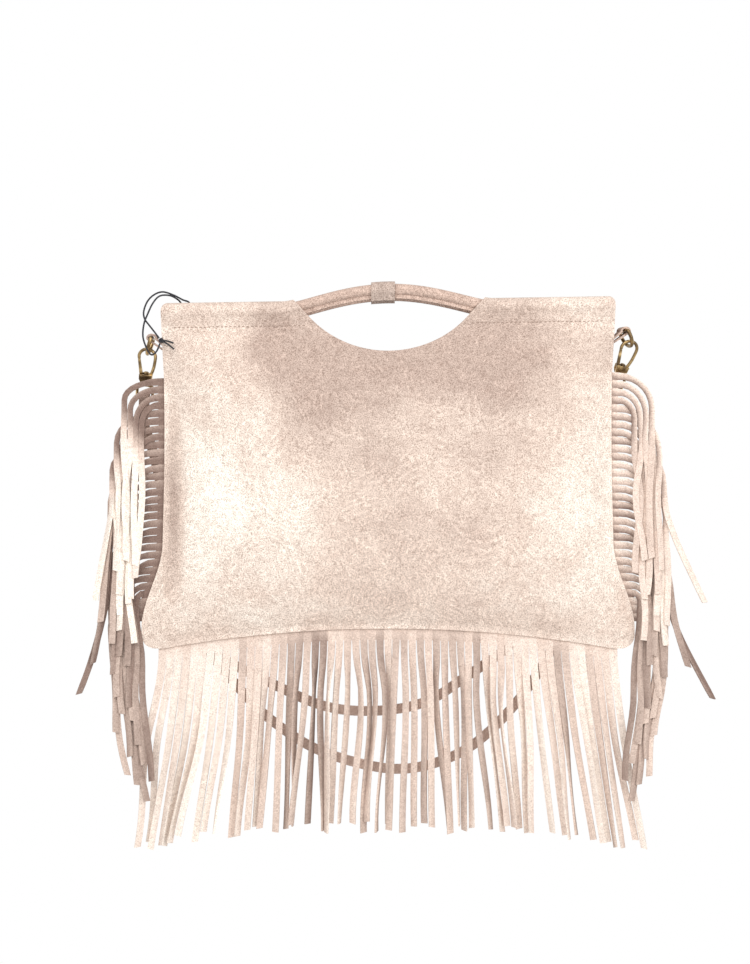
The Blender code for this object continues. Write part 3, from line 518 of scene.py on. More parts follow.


# Painted light and shade on the panel: pale patches where light falls, dark ones for shading near the top
# and in creases. Middle, half sizes and strength
PANEL_LIGHT_AND_SHADE = ((-0.15, -0.17, 0.1, 0.17, 0.36), (-0.11, -0.155, 0.06, 0.09, 0.14),
                 (0.178, -0.19, 0.08, 0.14, 0.26), (0.125, -0.135, 0.07, 0.12, 0.1),
                 (-0.035, -0.05, 0.11, 0.06, -0.8), (0.075, -0.04, 0.09, 0.055, -0.75),
                 (0.09, -0.11, 0.06, 0.09, -0.3), (-0.02, -0.125, 0.07, 0.06, -0.2),
                 (-0.171, -0.165, 0.013, 0.09, -0.85), (-0.094, -0.034, 0.022, 0.045, -0.4),
                 (0.03, -0.2, 0.06, 0.05, -0.18), (-0.165, -0.262, 0.05, 0.03, -0.15))
PANEL_FINISH = suede("panel_suede", (0.92, 0.84, 0.75), (0.705, 0.577, 0.494), (0.49, 0.376, 0.318), 0.95,
                     painted_light_and_shade=PANEL_LIGHT_AND_SHADE)
FRINGE_FINISH = suede("fringe_suede", (0.95, 0.865, 0.775), (0.73, 0.585, 0.5), (0.235, 0.16, 0.132), 0.4,
                      toned=True, marks=0.6, nap_share=0.6)
TRIM_FINISH = suede("trim_suede", (0.7, 0.54, 0.45), (0.56, 0.42, 0.35), (0.38, 0.28, 0.23), 0.9)
WRAP_FINISH = suede("wrap_suede", (0.62, 0.51, 0.44), (0.49, 0.39, 0.335), (0.33, 0.25, 0.21), 0.9)
STRAP_FINISH = suede("strap_suede", (0.66, 0.5, 0.42), (0.5, 0.37, 0.31), (0.34, 0.245, 0.205), 0.9)
THREAD_FINISH = plain("thread", (0.36, 0.26, 0.21), 0.8)
BRASS_FINISH = antique("antique_brass_worn", 0.3)
STEEL_FINISH = plain("bar_steel", (0.5, 0.5, 0.5), 0.35, 1.0)
CORD_FINISH = plain("waxed_cord", (0.01, 0.01, 0.014), 0.6)
FLOOR_FINISH = plain("floor_white", (0.86, 0.86, 0.86), 0.9)


# Camera and light

VIEW_DISTANCE = 1.5
VIEW_X = -0.0104
VIEW_Z = -0.144
VIEW_HEIGHT = 0.7712
SENSOR = 36.0
# Strength of the world's white, as light on the bag and behind it
WORLD_LIGHT = 0.62
WORLD_SEEN = 1.0
FLOOR_Z = -0.8
FLOOR_R = 0.8
# Lights: name, place, size and power
LIGHTS = (("key", (-0.5, -1.35, 0.75), 1.2, 17.0), ("fill", (0.95, -1.2, 0.1), 1.1, 10.0))
LIGHT_AIM = Vector((0.0, 0.0, -0.2))


def camera():
    made = bpy.data.cameras.new("camera")
    made.sensor_width = SENSOR
    made.lens = SENSOR * VIEW_DISTANCE / VIEW_HEIGHT
    seen = placed("camera", made)
    seen.location = (VIEW_X, -VIEW_DISTANCE, VIEW_Z)
    seen.rotation_euler = (pi / 2.0, 0.0, 0.0)
    bpy.context.scene.camera = seen


def area_light(name, place, size, power):
    made = bpy.data.lights.new(name, "AREA")
    made.shape = "SQUARE"
    made.size = size
    made.energy = power
    lamp = placed(name, made)
    lamp.location = place
    lamp.rotation_euler = (LIGHT_AIM - Vector(place)).to_track_quat("-Z", "Y").to_euler()


def world():
    """White behind the bag, a softer grey for its light."""
    made = bpy.data.worlds.new("studio")
    bpy.context.scene.world = made
    made.use_nodes = True
    tree = made.node_tree
    tree.nodes.clear()
    rays = node(tree, "LightPath").outputs
    shown = value_of(tree, "MAXIMUM", rays["Is Camera Ray"], rays["Is Glossy Ray"])
    through = value_of(tree, "MAXIMUM", shown, rays["Is Transmission Ray"])
    mixer = node(tree, "MixShader", Fac=through)
    for place, strength in ((1, WORLD_LIGHT), (2, WORLD_SEEN)):
        white = node(tree, "Background", Color=(1.0, 1.0, 1.0, 1.0), Strength=strength)
        tree.links.new(white.outputs[0], mixer.inputs[place])
    node(tree, "OutputWorld", Surface=mixer.outputs[0])


def studio_floor():
    built = bmesh.new()
    bmesh.ops.create_circle(built, cap_ends=True, segments=64, radius=FLOOR_R)
    made = mesh_piece("studio_floor", built)
    made.location.z = FLOOR_Z
    made.data.materials.append(FLOOR_FINISH)


# Shape of the bag

# Waves of the hide: size, number to the metre along X and Z, and salt
SLACK_WAVES = ((0.0016, 17.0, 11.0, 0.0), (0.0005, 46.0, 30.0, 7.0))
# They rise over this length at the sides, and over these shares of the body's height
SLACK_SIDE = 0.03
SLACK_TOP = 0.1
SLACK_FOOT = 0.12


def lean(x, z):
    """How much a place is raised, most at the right of the top."""
    share = min(1.0, max(0.0, (z - LEAN_FOOT_Z) / (STITCH_Z - LEAN_FOOT_Z)))
    return TOP_LEAN * x * share


def seam_z(x):
    return SEAM_CORNER_Z + SEAM_ARCH * (1.0 - min(1.0, abs(x) / TOP_HALF) ** 2)


def share_at(z):
    """How far down the body a height is, from the stitch line to the bottom corners."""
    return min(1.0, max(0.0, (STITCH_Z - z) / BODY_HEIGHT))


def half_width(share):
    flare = FOOT_FLARE * smooth((share - FLARE_START) / (FLARE_END - FLARE_START))
    waist = WAIST_IN * sin(pi * min(1.0, share / FLARE_START))
    corner = CORNER_R / BODY_HEIGHT
    over = max(0.0, (share - (1.0 - corner)) / corner)
    return TOP_HALF + flare - waist - CORNER_R * (1.0 - sqrt(max(0.0, 1.0 - over * over)))


def puff(distance):
    return 1.0 - exp(-max(0.0, distance - SEAM_MARGIN) / PUFF_LENGTH)


def panel_out(x, z, crown):
    share = share_at(z)
    side = puff(half_width(share) - abs(x))
    foot = puff(z - seam_z(x))
    body = SEAM_OUT + crown * side * foot
    inside = 1.0 - exp(-max(0.0, half_width(share) - abs(x)) / NECK_EDGE_WIDTH)
    neck = 1.0 - smooth(share / mix(NECK_EDGE_SHARE, NECK_SHARE, inside))
    return mix(body, TOP_DEPTH + STITCH_IN, neck)


def bow(x):
    return BOW_RISE * max(0.0, 1.0 - (x / BOW_HALF) ** 2) ** 1.5


def slack(x, z, salt):
    """Small soft waves of the hide, none at its seams."""
    share = share_at(z)
    hold = smooth((half_width(share) - abs(x)) / SLACK_SIDE) * smooth(share / SLACK_TOP)
    hold *= smooth((1.0 - share) / SLACK_FOOT)
    return hold * sum(height * soft(x * along_x, salt + apart, z * along_z)
                      for height, along_x, along_z, apart in SLACK_WAVES)


# Panels

PANEL_COLUMNS = 120
HEM_ARCS = 22
HEM_START = radians(220.0)
HEM_SWEEP = radians(260.0)
# Size of the hem's ripples, and their number to the metre along it and up it
HEM_RIPPLE = 0.00025
RIPPLES_ALONG = 55.0
RIPPLES_UP = 90.0
# How much the hem's ends draw in towards its highest line
HEM_ROUND = 0.0055
BODY_STEPS = 84
CORNER_STEPS = 8
# Share by which the body's rows of points crowd towards the top
CROWDING = 0.35
HAND_ARCS = 60
CUT_TOP_Z = 0.03
CUT_HALF_Y = 0.06
STITCH_PITCH = 0.0034
STITCH_HALF = (0.0011, 0.00032, 0.000416)
STITCH_DROP = 0.0004
STITCH_OUT = 0.0001
STITCH_TURN = radians(4.0)
# Clear of the stitches, at the panel's side and at the hand opening
STITCH_SIDE = 0.006
STITCH_HAND = 0.004


def hem_rows():
    """Depth, height and tunnel share of the hem's lines."""
    flap_out = TOP_DEPTH + STITCH_IN - SUEDE - GAP
    rows = [(flap_out - FLAP_LEAN, STITCH_Z - FLAP_SHOW, 0.0), (flap_out, STITCH_Z, 0.0)]
    for step in range(HEM_ARCS + 1):
        angle = HEM_START - HEM_SWEEP * step / HEM_ARCS
        rows.append((TOP_DEPTH + TUNNEL_R * cos(angle), ROD_Z + TUNNEL_R * sin(angle), 1.0))
    return rows


def body_levels():
    """Shares of the body's height at which a panel has a row of points."""
    corner = CORNER_R / BODY_HEIGHT
    levels = [mix(level, level * level, CROWDING) * (1.0 - corner)
              for level in spread(0.0, 1.0, BODY_STEPS)]
    return levels + [1.0 - corner + corner * sin(pi / 2.0 * step / CORNER_STEPS)
                     for step in range(1, CORNER_STEPS + 1)]


def hand_outline():
    """The hand opening: an arc and straight sides."""
    sagitta = HAND_EDGE_Z - HAND_FOOT_Z
    radius = (HAND_HALF ** 2 + sagitta ** 2) / (2.0 * sagitta)
    reach = asin(HAND_HALF / radius)
    points = [(radius * sin(angle), HAND_FOOT_Z + radius * (1.0 - cos(angle)))
              for angle in spread(-reach, reach, HAND_ARCS)]
    over = HAND_MOUTH - HAND_HALF
    half = HAND_HALF + over / (HAND_MOUTH_Z - HAND_EDGE_Z) * (CUT_TOP_Z - HAND_EDGE_Z)
    return points + [(half, CUT_TOP_Z), (-half, CUT_TOP_Z)]


def panel(name, side, crown, solid, cut):
    shares = spread(-1.0, 1.0, PANEL_COLUMNS)
    rows = []
    for out, height, tunnel in hem_rows():
        over = max(0.0, height - ROD_Z) / TUNNEL_R * tunnel
        half = TOP_HALF - HEM_ROUND * (1.0 - sqrt(max(0.0, 1.0 - min(1.0, over) ** 2)))
        row = []
        for share in shares:
            x = share * half
            ripple = HEM_RIPPLE * tunnel * soft(x * RIPPLES_ALONG, side * 3.0, height * RIPPLES_UP)
            z = height + bow(share * TOP_HALF) * tunnel
            row.append((x, side * (out + ripple), z + lean(x, height)))
        rows.append(row)
    for level in body_levels():
        half = half_width(level)
        row = []
        for share in shares:
            x = share * half
            z = mix(STITCH_Z, seam_z(x), level)
            out = panel_out(x, z, crown) + slack(x, z, 2.0 + side)
            row.append((x, side * out, z + lean(x, z)))
        rows.append(row)
    made = thicken(grid(name, rows), SUEDE)
    cutting = made.modifiers.new("Cut", "BOOLEAN")
    cutting.operation = "DIFFERENCE"
    cutting.solver = "EXACT"
    cutting.object = cut
    made = shade(evaluated(made), PANEL_ANGLE)
    dress(made, PANEL_FINISH, "suede", solid)


def stitches(name, side, crown):
    """Short stitches under the hem tunnel, on both sides of the hand opening."""
    built = bmesh.new()
    z = STITCH_Z - STITCH_DROP
    for direction in (LEFT, RIGHT):
        count = int((TOP_HALF - STITCH_SIDE - HAND_HALF - STITCH_HAND) / STITCH_PITCH)
        for step in range(count):
            x = direction * (HAND_HALF + STITCH_HAND + STITCH_PITCH * (step + 0.5))
            out = panel_out(x, z, crown) + SUEDE / 2.0 + STITCH_OUT
            where = (Matrix.Translation((x, side * out, z + lean(x, z)))
                     @ Matrix.Rotation(STITCH_TURN * wobble(step, 11), 4, "Y")
                     @ Matrix.Diagonal((*STITCH_HALF, 1.0)))
            bmesh.ops.create_icosphere(built, subdivisions=1, radius=1.0, matrix=where)
    made = shade(mesh_piece(name, built), THREAD_ANGLE)
    dress(made, THREAD_FINISH, "suede_dark")


# Handles

BAR_STEPS = 60
COVER_STEPS = 72
WRAP_STEPS = 8
SLEEVE_ARCS = 28
WRAP_START = radians(48.0)
# From the cover to the middle of the wrap's leather
WRAP_OUT = 2.0 * GAP + WRAP_SUEDE / 2.0


def handle_point(x, depth):
    return Vector((x, depth, ROD_Z + bow(x) + lean(x, ROD_Z)))


def sleeve(name, depth, stations, radius, edge, foot, start, thickness, rounding, closed):
    """Leather sewn round the bowed bar."""
    profile = [(-edge, foot)]
    for angle in spread(start, 2.0 * pi - start, SLEEVE_ARCS):
        profile.append((-radius * sin(angle), -radius * cos(angle)))
    profile.append((edge, foot))
    rows = []
    for y, z in profile:
        rows.append([(x, depth + y, handle_point(x, depth).z + z) for x in stations])
    return leather(grid(name, rows, closed), thickness, rounding)


def handle(name, depth):
    line = [handle_point(x, depth) for x in spread(-ROD_HALF, ROD_HALF, BAR_STEPS)]
    bar = tube(name + "_handle_bar", line, ROD_R)
    dress(bar, STEEL_FINISH, "rod_steel", name + "_handle_rod")
    radius = ROD_R + GAP + COVER_SUEDE / 2.0
    edge = COVER_SUEDE / 2.0 + GAP / 2.0
    foot = -(COVER_R + FLANGE)
    stations = spread(-COVER_HALF, COVER_HALF, COVER_STEPS)
    cover = sleeve(name + "_cover_leather", depth, stations, radius, edge, foot, asin(edge / radius),
                   COVER_SUEDE, 0.0, False)
    dress(cover, TRIM_FINISH, "suede", name + "_handle_cover")
    radius = COVER_R + WRAP_OUT
    edge = COVER_SUEDE + GAP / 2.0 + WRAP_OUT
    foot = -(COVER_R + FLANGE + WRAP_OUT)
    stations = spread(WRAP_X - WRAP_WIDTH / 2.0, WRAP_X + WRAP_WIDTH / 2.0, WRAP_STEPS)
    wrap = sleeve(name + "_wrap_leather", depth, stations, radius, edge, foot, WRAP_START,
                  WRAP_SUEDE, EDGE_ROUND, True)
    dress(wrap, WRAP_FINISH, "suede_dark", name + "_handle_wrap")


# Fringe

STRAND_HALF = (STRAND_PITCH - SLIT) / 2.0


def strand_strip(built, root_a, root_b, sections):
    """A strand from its root's two points through (left, right, left tone, right tone) sections; the two
    tones carry the strand's own tone and painted shade across it.
    """
    tone_layer = built.verts.layers.float[TONE]
    low = (root_a, root_b)
    root_a[tone_layer], root_b[tone_layer] = sections[0][2:]
    for left, right, left_tone, right_tone in sections:
        high = (built.verts.new(left), built.verts.new(right))
        high[0][tone_layer] = left_tone
        high[1][tone_layer] = right_tone
        built.faces.new((low[0], low[1], high[1], high[0]))
        low = high


def slit_points(built, index, count, before, after):
    """The band's points on both sides of a slit: one at each end of the band."""
    return (built.verts.new(before) if index else None,
            built.verts.new(after) if index < count else None)


def band_faces(built, inner, outer, index):
    """The band's part above a strand, and the two points that the strand hangs from."""
    a, b = inner[index], inner[index + 1]
    c, d = outer[index][1], outer[index + 1][0]
    if index:
        built.faces.new((a, outer[index][0], c))
    built.faces.new((a, c, d, b))
    return c, d


def fringe_piece(name, built, solid):
    bmesh.ops.recalc_face_normals(built, faces=built.faces)
    made = leather(mesh_piece(name, built), FRINGE_SUEDE)
    dress(made, FRINGE_FINISH, "suede", solid)


# Bottom fringe

BOTTOM_COUNT = int(round(2.0 * BOTTOM_HALF / STRAND_PITCH))
BOTTOM_PITCH = 2.0 * BOTTOM_HALF / BOTTOM_COUNT
BOTTOM_SECTIONS = 15
BOTTOM_LAYERS = (-0.0042, 0.004, 0.0002)
BOTTOM_TWIST = radians(68.0)
BOTTOM_TURN = radians(20.0)
BOTTOM_SWING = 0.0005
# Clumps of strands: waves to the metre, salt and size
BOTTOM_CLUMPS = ((24.0, 11.0, 0.012), (70.0, 31.0, 0.008))
BOTTOM_CURL = 0.0075
CURL_WAVES = 30.0
# What each strand does on its own
OWN_LENGTH = 0.005
OWN_END = 0.0022
OWN_CURL = 0.0018
OWN_CUT = 0.0007
# Where the middle turns into the ends. For both: how soon strands part, their width at the root
OUTER_START = 0.07
OUTER_RUN = 0.04
PARTING = (3.6, 1.5)
ROOT_WIDTH = (0.92, 1.02)
BOTTOM_WIDTH = 0.86
# Painted shade across a turned strand, one edge paler and the other darker, and how much darker its root is
EDGE_SHADE = 0.22
ROOT_TONE = 0.05
# Tone of the middle, and its rises to the ends: place, run and size
MIDDLE_TONE = -0.09
TONE_RISES = ((-0.085, -0.05, 0.38), (0.06, 0.09, 0.2))
# Tone of each strand alone, and of a neighbourhood with its waves to the metre
LONE_TONE = 0.2
NEAR_TONE = 0.24
NEAR_WAVES = 40.0


def bottom_tone(index, x):
    """Pale at the left end, browner in the middle, light to the right."""
    rises = sum(size * smooth((x - place) / run) for place, run, size in TONE_RISES)
    own = LONE_TONE * wobble(index, 9) + NEAR_TONE * soft(x * NEAR_WAVES, 3.0)
    return rises + MIDDLE_TONE + own


def bottom_strand(index, x_root, z_root):
    layer = BOTTOM_LAYERS[index % len(BOTTOM_LAYERS)]
    twist = BOTTOM_TWIST * wobble(index, 1)
    clump = sum(size * soft(x_root * scale, salt) for scale, salt, size in BOTTOM_CLUMPS)
    length = STRAND_LENGTH + OWN_LENGTH * wobble(index, 3)
    x_end = x_root * BOTTOM_SPREAD + clump + OWN_END * wobble(index, 2)
    curl = BOTTOM_CURL * soft(x_root * CURL_WAVES, 23.0) + OWN_CURL * wobble(index, 5)
    tone = bottom_tone(index, x_root)
    outer = smooth((abs(x_root) - OUTER_START) / OUTER_RUN)
    parting = mix(*PARTING, outer)
    root_width = mix(*ROOT_WIDTH, outer)
    sections = []
    for share in spread(0.0, 1.0, BOTTOM_SECTIONS)[1:]:
        ease = smooth(share * parting)
        x = mix(x_root, x_end, share ** 1.15) + curl * sin(1.5 * pi * share) * ease
        y = layer * ease + BOTTOM_SWING * sin(5.0 * share + index) * ease
        z = z_root - length * share
        turn = twist * ease + BOTTOM_TURN * sin(5.0 * share + 2.0 * index) * ease
        half = STRAND_HALF * mix(root_width, BOTTOM_WIDTH, ease)
        dx = half * cos(turn)
        dy = half * sin(turn)
        slant = OWN_CUT * wobble(index, 6) if share == 1.0 else 0.0
        # Painted shade: the turned strand's one edge paler, the other darker
        shade_shift = EDGE_SHADE * sin(turn)
        level = tone - ROOT_TONE * (1.0 - smooth(share * 4.0))
        sections.append(((x - dx, y - dy, z - slant), (x + dx, y + dy, z + slant),
                         level + shade_shift, level - shade_shift))
    return sections


def bottom_fringe():
    built = bmesh.new()
    built.verts.layers.float.new(TONE)
    inner = []
    outer = []
    for index in range(BOTTOM_COUNT + 1):
        x = -BOTTOM_HALF + BOTTOM_PITCH * index
        inner.append(built.verts.new((x, 0.0, seam_z(x) + BAND_TUCK)))
        slit = 0.0 if index in (0, BOTTOM_COUNT) else SLIT / 2.0
        z = seam_z(x) - BAND_SHOW
        outer.append(slit_points(built, index, BOTTOM_COUNT, (x - slit, 0.0, z), (x + slit, 0.0, z)))
    for index in range(BOTTOM_COUNT):
        roots = band_faces(built, inner, outer, index)
        x = -BOTTOM_HALF + BOTTOM_PITCH * (index + 0.5)
        strand_strip(built, *roots, bottom_strand(index, x, seam_z(x) - BAND_SHOW))
    fringe_piece("bottom_fringe_leather", built, "bottom_fringe")


# Side fringes

SIDE_COUNT = int(round((SIDE_TOP_Z - SIDE_FOOT_Z) / STRAND_PITCH))
SIDE_PITCH = (SIDE_TOP_Z - SIDE_FOOT_Z) / SIDE_COUNT
ARC_SECTIONS = 7
DROP_SECTIONS = 14
# A strand turns down in its lane and hangs in front of those that it would meet
SIDE_REACH = TOP_HALF + 0.0415
LEAST_OUT = 0.0015
LEAST_FALL = 0.0039
LANES = 4
LANE_STEP = 0.0067
SIDE_SLOPE = SHINGLE / (LANES * STRAND_PITCH)
NESTED_START = 0.15 * SHINGLE
CROSSING_START = 0.9 * SHINGLE
# How much less far the first groups of lanes reach
SHOULDER = (0.011, 0.005, 0.0015)
# Strands whose ends hang further out, and the tones of some
STRAYS = {LEFT: {8: 0.0095, 12: 0.007, 16: 0.011, 20: 0.0235},
          RIGHT: {8: 0.028, 16: 0.0135, 20: 0.036}}
STRAY_TONES = {LEFT: {16: -0.45, 20: -0.45}, RIGHT: {8: 0.25, 20: -0.45}}
# Tones of the comb, of the front strands and of those below: level, and share of their own. The comb's low
# level is painted shade, deepest at the left
SIDE_TONES = {LEFT: ((-0.46, 0.8), (0.48, 1.0), (-0.3, 1.0)),
              RIGHT: ((-0.1, 1.0), (0.08, 1.0), (-0.2, 1.4))}
FRONT_COUNT = {LEFT: 12, RIGHT: 14}
OWN_TONE = 0.16
# The comb's part of a strand, for its tones
COMB_SHARE = 0.25
# A strand's width, and its painted shade from edge to edge, in the comb and below it
COMB_WIDTH = 0.74
HUNG_WIDTH = 0.84
COMB_EDGE_SHADE = {LEFT: 0.1, RIGHT: 0.34}
HUNG_EDGE_SHADE = 0.2
# The lanes hang this much further out each, which leaves the comb clear
LANE_PULL = 0.0021
# From this one on the strands hang close to the bottom fringe instead
FIRST_LOW = 19
LOW_COUNT = 8
LOW_DRIFT = 0.013
# Height of a strand's arc, how much it varies, and its greatest share of the arc's reach
ARC_DROP = {LEFT: 0.019, RIGHT: 0.034}
ARC_OWN = 0.25
ARC_STEEP = 1.15
# Sway and turn of a lane, and their waves to the metre
LANE_SWAY = 0.006
SWAY_WAVES = 16.0
LANE_TURN = radians(75.0)
TURN_WAVES = 9.0
HUNG_TURN = radians(24.0)
HUNG_DRIFT = 0.0035
HUNG_LENGTH = 0.007
HUNG_CUT = 0.0009


def side_plan():
    """Root height, seam edge, reach, start and depth of each strand, from the top down."""
    places = []
    for index in range(SIDE_COUNT):
        z = SIDE_TOP_Z - SIDE_PITCH * (index + 0.5)
        edge = half_width(share_at(z)) + SIDE_BAND_SHOW
        group, lane = divmod(index, LANES)
        shoulder = SHOULDER[group] if group < len(SHOULDER) else 0.0
        reach = max(SIDE_REACH - LANE_STEP * lane - shoulder, edge + LEAST_OUT + LEAST_FALL)
        places.append((z, edge, reach))
    plan = []
    for z, edge, reach in reversed(places):
        depth = SHINGLE
        for low_z, _, low_reach, _, low_depth in plan:
            if abs(low_reach - reach) < STRAND_PITCH:
                depth = max(depth, low_depth + SHINGLE - SIDE_SLOPE * (z - low_z))
        crosses = plan and plan[-1][2] > reach
        plan.append((z, edge, reach, CROSSING_START if crosses else NESTED_START, depth))
    return plan[::-1]


def side_tone(index, side, hanging):
    """A strand's tone, from its comb, darkened with painted shade, to where it hangs."""
    own = OWN_TONE * wobble(index, 9)
    # The comb's level is painted shade
    comb, front, low = [level + share * own for level, share in SIDE_TONES[side]]
    hung = front if index < FRONT_COUNT[side] else low
    hung = STRAY_TONES[side].get(index, hung)
    return mix(comb, hung, smooth((hanging - COMB_SHARE) * 3.0))


def side_strand(index, side, z_root, place):
    """Sections of a falling arc from the seam, then down with the sway of the lane."""
    edge, reach, start, depth = place
    lane = index % LANES
    low = smooth((index - FIRST_LOW) / LOW_COUNT)
    reach += LANE_PULL * lane * (1.0 - low)
    out = reach - edge
    arc_drop = min(ARC_DROP[side] * (1.0 + ARC_OWN * wobble(index, 11)), ARC_STEEP * out)
    # Painted shade across the strand: one edge paler, the other darker
    edge_shade = COMB_EDGE_SHADE[side]
    sections = []
    for share in spread(0.0, 1.0, ARC_SECTIONS)[1:]:
        angle = pi / 2.0 * share
        u = edge + out * sin(angle)
        drop = arc_drop * (1.0 - cos(angle))
        w = z_root - drop
        y = -mix(start, depth, smooth(1.4 * share)) - SIDE_SLOPE * drop
        across = Vector((arc_drop * sin(angle), out * cos(angle))).normalized()
        du, dw = across * (STRAND_HALF * mix(1.0, COMB_WIDTH, smooth(3.0 * share)))
        tone = side_tone(index, side, COMB_SHARE * share)
        sections.append(((side * (u + du), y, w + dw), (side * (u - du), y, w - dw),
                         tone + edge_shade, tone - edge_shade))
    length = STRAND_LENGTH + HUNG_LENGTH * wobble(index, 4)
    hang = length - pi / 2.0 * sqrt((out ** 2 + arc_drop ** 2) / 2.0)
    stray = STRAYS[side].get(index, 0.0)
    for share in spread(0.0, 1.0, DROP_SECTIONS)[1:]:
        ease = smooth(share * 3.0)
        drop = arc_drop + hang * share
        w = z_root - drop
        sway = LANE_SWAY * ease * soft(w * SWAY_WAVES, 5.0 * lane, 9.0 * side)
        own = HUNG_DRIFT * wobble(index, 7) * share ** 2.0
        u = reach + stray * share ** 1.6 + sway + own - LOW_DRIFT * low * share ** 1.3
        turn = ease * LANE_TURN * soft(w * TURN_WAVES, 7.0 * lane, 3.0 * side)
        turn += ease * share * HUNG_TURN * wobble(index, 8)
        y = -depth - SIDE_SLOPE * drop
        half = STRAND_HALF * mix(COMB_WIDTH, HUNG_WIDTH, ease)
        du = half * cos(turn)
        dy = half * sin(turn)
        slant = HUNG_CUT * wobble(index, 6) if share == 1.0 else 0.0
        tone = side_tone(index, side, COMB_SHARE + share)
        # Painted shade across the strand, from the comb's to that of its turn
        shade_shift = mix(edge_shade, HUNG_EDGE_SHADE * sin(turn), ease)
        sections.append(((side * (u + du), y - dy, w - slant), (side * (u - du), y + dy, w + slant),
                         tone + shade_shift, tone - shade_shift))
    return sections


def side_fringe(name, side):
    built = bmesh.new()
    tone_layer = built.verts.layers.float.new(TONE)
    slit = SLIT / 2.0
    inner = []
    outer = []
    for index in range(SIDE_COUNT + 1):
        z = SIDE_TOP_Z - SIDE_PITCH * index
        edge = half_width(share_at(z))
        up = lean(side * edge, z)
        inner.append(built.verts.new((side * (edge - BAND_TUCK), 0.0, z + up)))
        inner[-1][tone_layer] = side_tone(index, side, 0.0)
        x = side * (edge + SIDE_BAND_SHOW)
        outer.append(slit_points(built, index, SIDE_COUNT, (x, 0.0, z + up + slit), (x, 0.0, z + up - slit)))
    for index, (z, *place) in enumerate(side_plan()):
        roots = band_faces(built, inner, outer, index)
        z += lean(side * place[0], z)
        strand_strip(built, *roots, side_strand(index, side, z, place))
    fringe_piece(name + "_fringe_leather", built, name + "_fringe")


# Tabs, rings and clips

RING_CORNER = 0.0016
RING_CORNER_STEPS = 6
RING_ARCS = 28
TAB_ARCS = 22
# How much wider than high the tab's fold is, and its angles round the bar, in degrees
TAB_EASE = 0.0009
TAB_ROUND = (196.0, -24.0)
# Shares of its drop at which each layer has points
TAB_DROPS = (1.0, 0.85, 0.7)
HOOK_ARCS = 20
NOSE_X = 0.0002 - HOOK_ARCH_R
# The hook's shank: how far in it is, at shares of its way to the block
SHANK = ((0.0002, 0.25), (0.0007, 0.55), (0.0017, 0.85))
CHEEK_HALF = 0.0008
BLADE_HALF_Y = 0.001
PIN_HEAD_R = 0.0011
PIN_OUT = 0.00025
COLLAR_HEIGHT = 0.002
EYE_CORNER = 0.0015
ROUND_ARCS = 6


def ring_place(side, tilt, turn):
    x = side * (TOP_HALF + RING_OUT)
    where = Vector((x, 0.0, RING_Z + lean(x, RING_Z)))
    return (Matrix.Translation(where) @ Matrix.Rotation(turn, 4, "Z")
            @ Matrix.Rotation(-side * tilt, 4, "Y"))


def clip_place(side, ring_tilt, clip_tilt, turn):
    where = ring_place(side, ring_tilt, turn) @ Vector((0.0, 0.0, -(RING_LEG + RING_HALF)))
    return (Matrix.Translation(where) @ Matrix.Rotation(turn, 4, "Z")
            @ Matrix.Rotation(-side * clip_tilt, 4, "Y") @ Matrix.Rotation(CLIP_LEAN, 4, "X"))


def rounded(corners, radius):
    """A closed line in 2-D with its corners rounded."""
    line = []
    count = len(corners)
    for index in range(count):
        here = Vector(corners[index])
        before = (Vector(corners[index - 1]) - here).normalized()
        after = (Vector(corners[(index + 1) % count]) - here).normalized()
        start = here + before * radius
        end = here + after * radius
        for t in spread(0.0, 1.0, ROUND_ARCS):
            line.append(start * (1.0 - t) ** 2 + here * 2.0 * t * (1.0 - t) + end * t * t)
    return line


def ring_line():
    """Centre line of the D ring in its YZ plane."""
    corners = []
    for middle, start in ((RING_CORNER - RING_HALF, pi / 2.0), (RING_HALF - RING_CORNER, 0.0)):
        corners.append([(0.0, middle + RING_CORNER * cos(angle), RING_CORNER * (sin(angle) - 1.0))
                        for angle in spread(start, start + pi / 2.0, RING_CORNER_STEPS)])
    arc = [(0.0, -RING_HALF * cos(angle), -RING_LEG - RING_HALF * sin(angle))
           for angle in spread(0.0, pi, RING_ARCS)]
    return corners[0] + arc + corners[1]


def tab(name, side, turn):
    """A strip folded over the ring's bar."""
    radius = RING_WIRE_R + GAP + SUEDE / 2.0
    half_pair = (SUEDE + GAP) / 2.0
    inward = RING_OUT + TAB_SEWN_IN
    line = [(-inward - half_pair, -TAB_DROP * drop) for drop in (*TAB_DROPS, TAB_FOLD - TAB_STAGGER)]
    for degrees in spread(*TAB_ROUND, TAB_ARCS):
        angle = radians(degrees)
        line.append(((radius + TAB_EASE) * cos(angle), radius * sin(angle)))
    line += [(-inward + half_pair, -TAB_DROP * drop)
             for drop in (TAB_FOLD + TAB_STAGGER, *TAB_DROPS[::-1])]
    place = ring_place(side, 0.0, 0.0)
    rows = []
    for x, z in line:
        twist = Matrix.Rotation(turn * smooth((z + TAB_DROP * 0.7) / (TAB_DROP * 0.6)), 4, "Z")
        rows.append([place @ (twist @ Vector((side * x, TAB_WIDTH * share, z)))
                     for share in (-0.5, -0.25, 0.0, 0.25, 0.5)])
    made = leather(grid(name + "_tab_leather", rows), SUEDE, EDGE_ROUND)
    dress(made, TRIM_FINISH, "suede", name + "_tab")


def hook_line():
    """Centre line of the hook's wire, from its nose to its block."""
    centre = ARCH_RISE - HOOK_ARCH_R
    points = [(NOSE_X, 0.0, centre - NOSE_DROP)]
    for share in spread(1.0, 0.0, HOOK_ARCS):
        angle = pi * share
        points.append((HOOK_ARCH_R * cos(angle), 0.0, centre + HOOK_ARCH_R * sin(angle)))
    for inward, share in SHANK:
        points.append((HOOK_ARCH_R - inward, 0.0, mix(centre, HOOK_BLOCK_TOP, share)))
    return points + [(HOOK_ARCH_R - 0.003, 0.0, HOOK_BLOCK_TOP - 0.0012)]


def metal(name, pieces, place, body, *nodes):
    made = joined(name, pieces)
    made.data.transform(place)
    shade(made, METAL_ANGLE)
    dress(made, BRASS_FINISH, "antique_brass", *nodes, body=body)


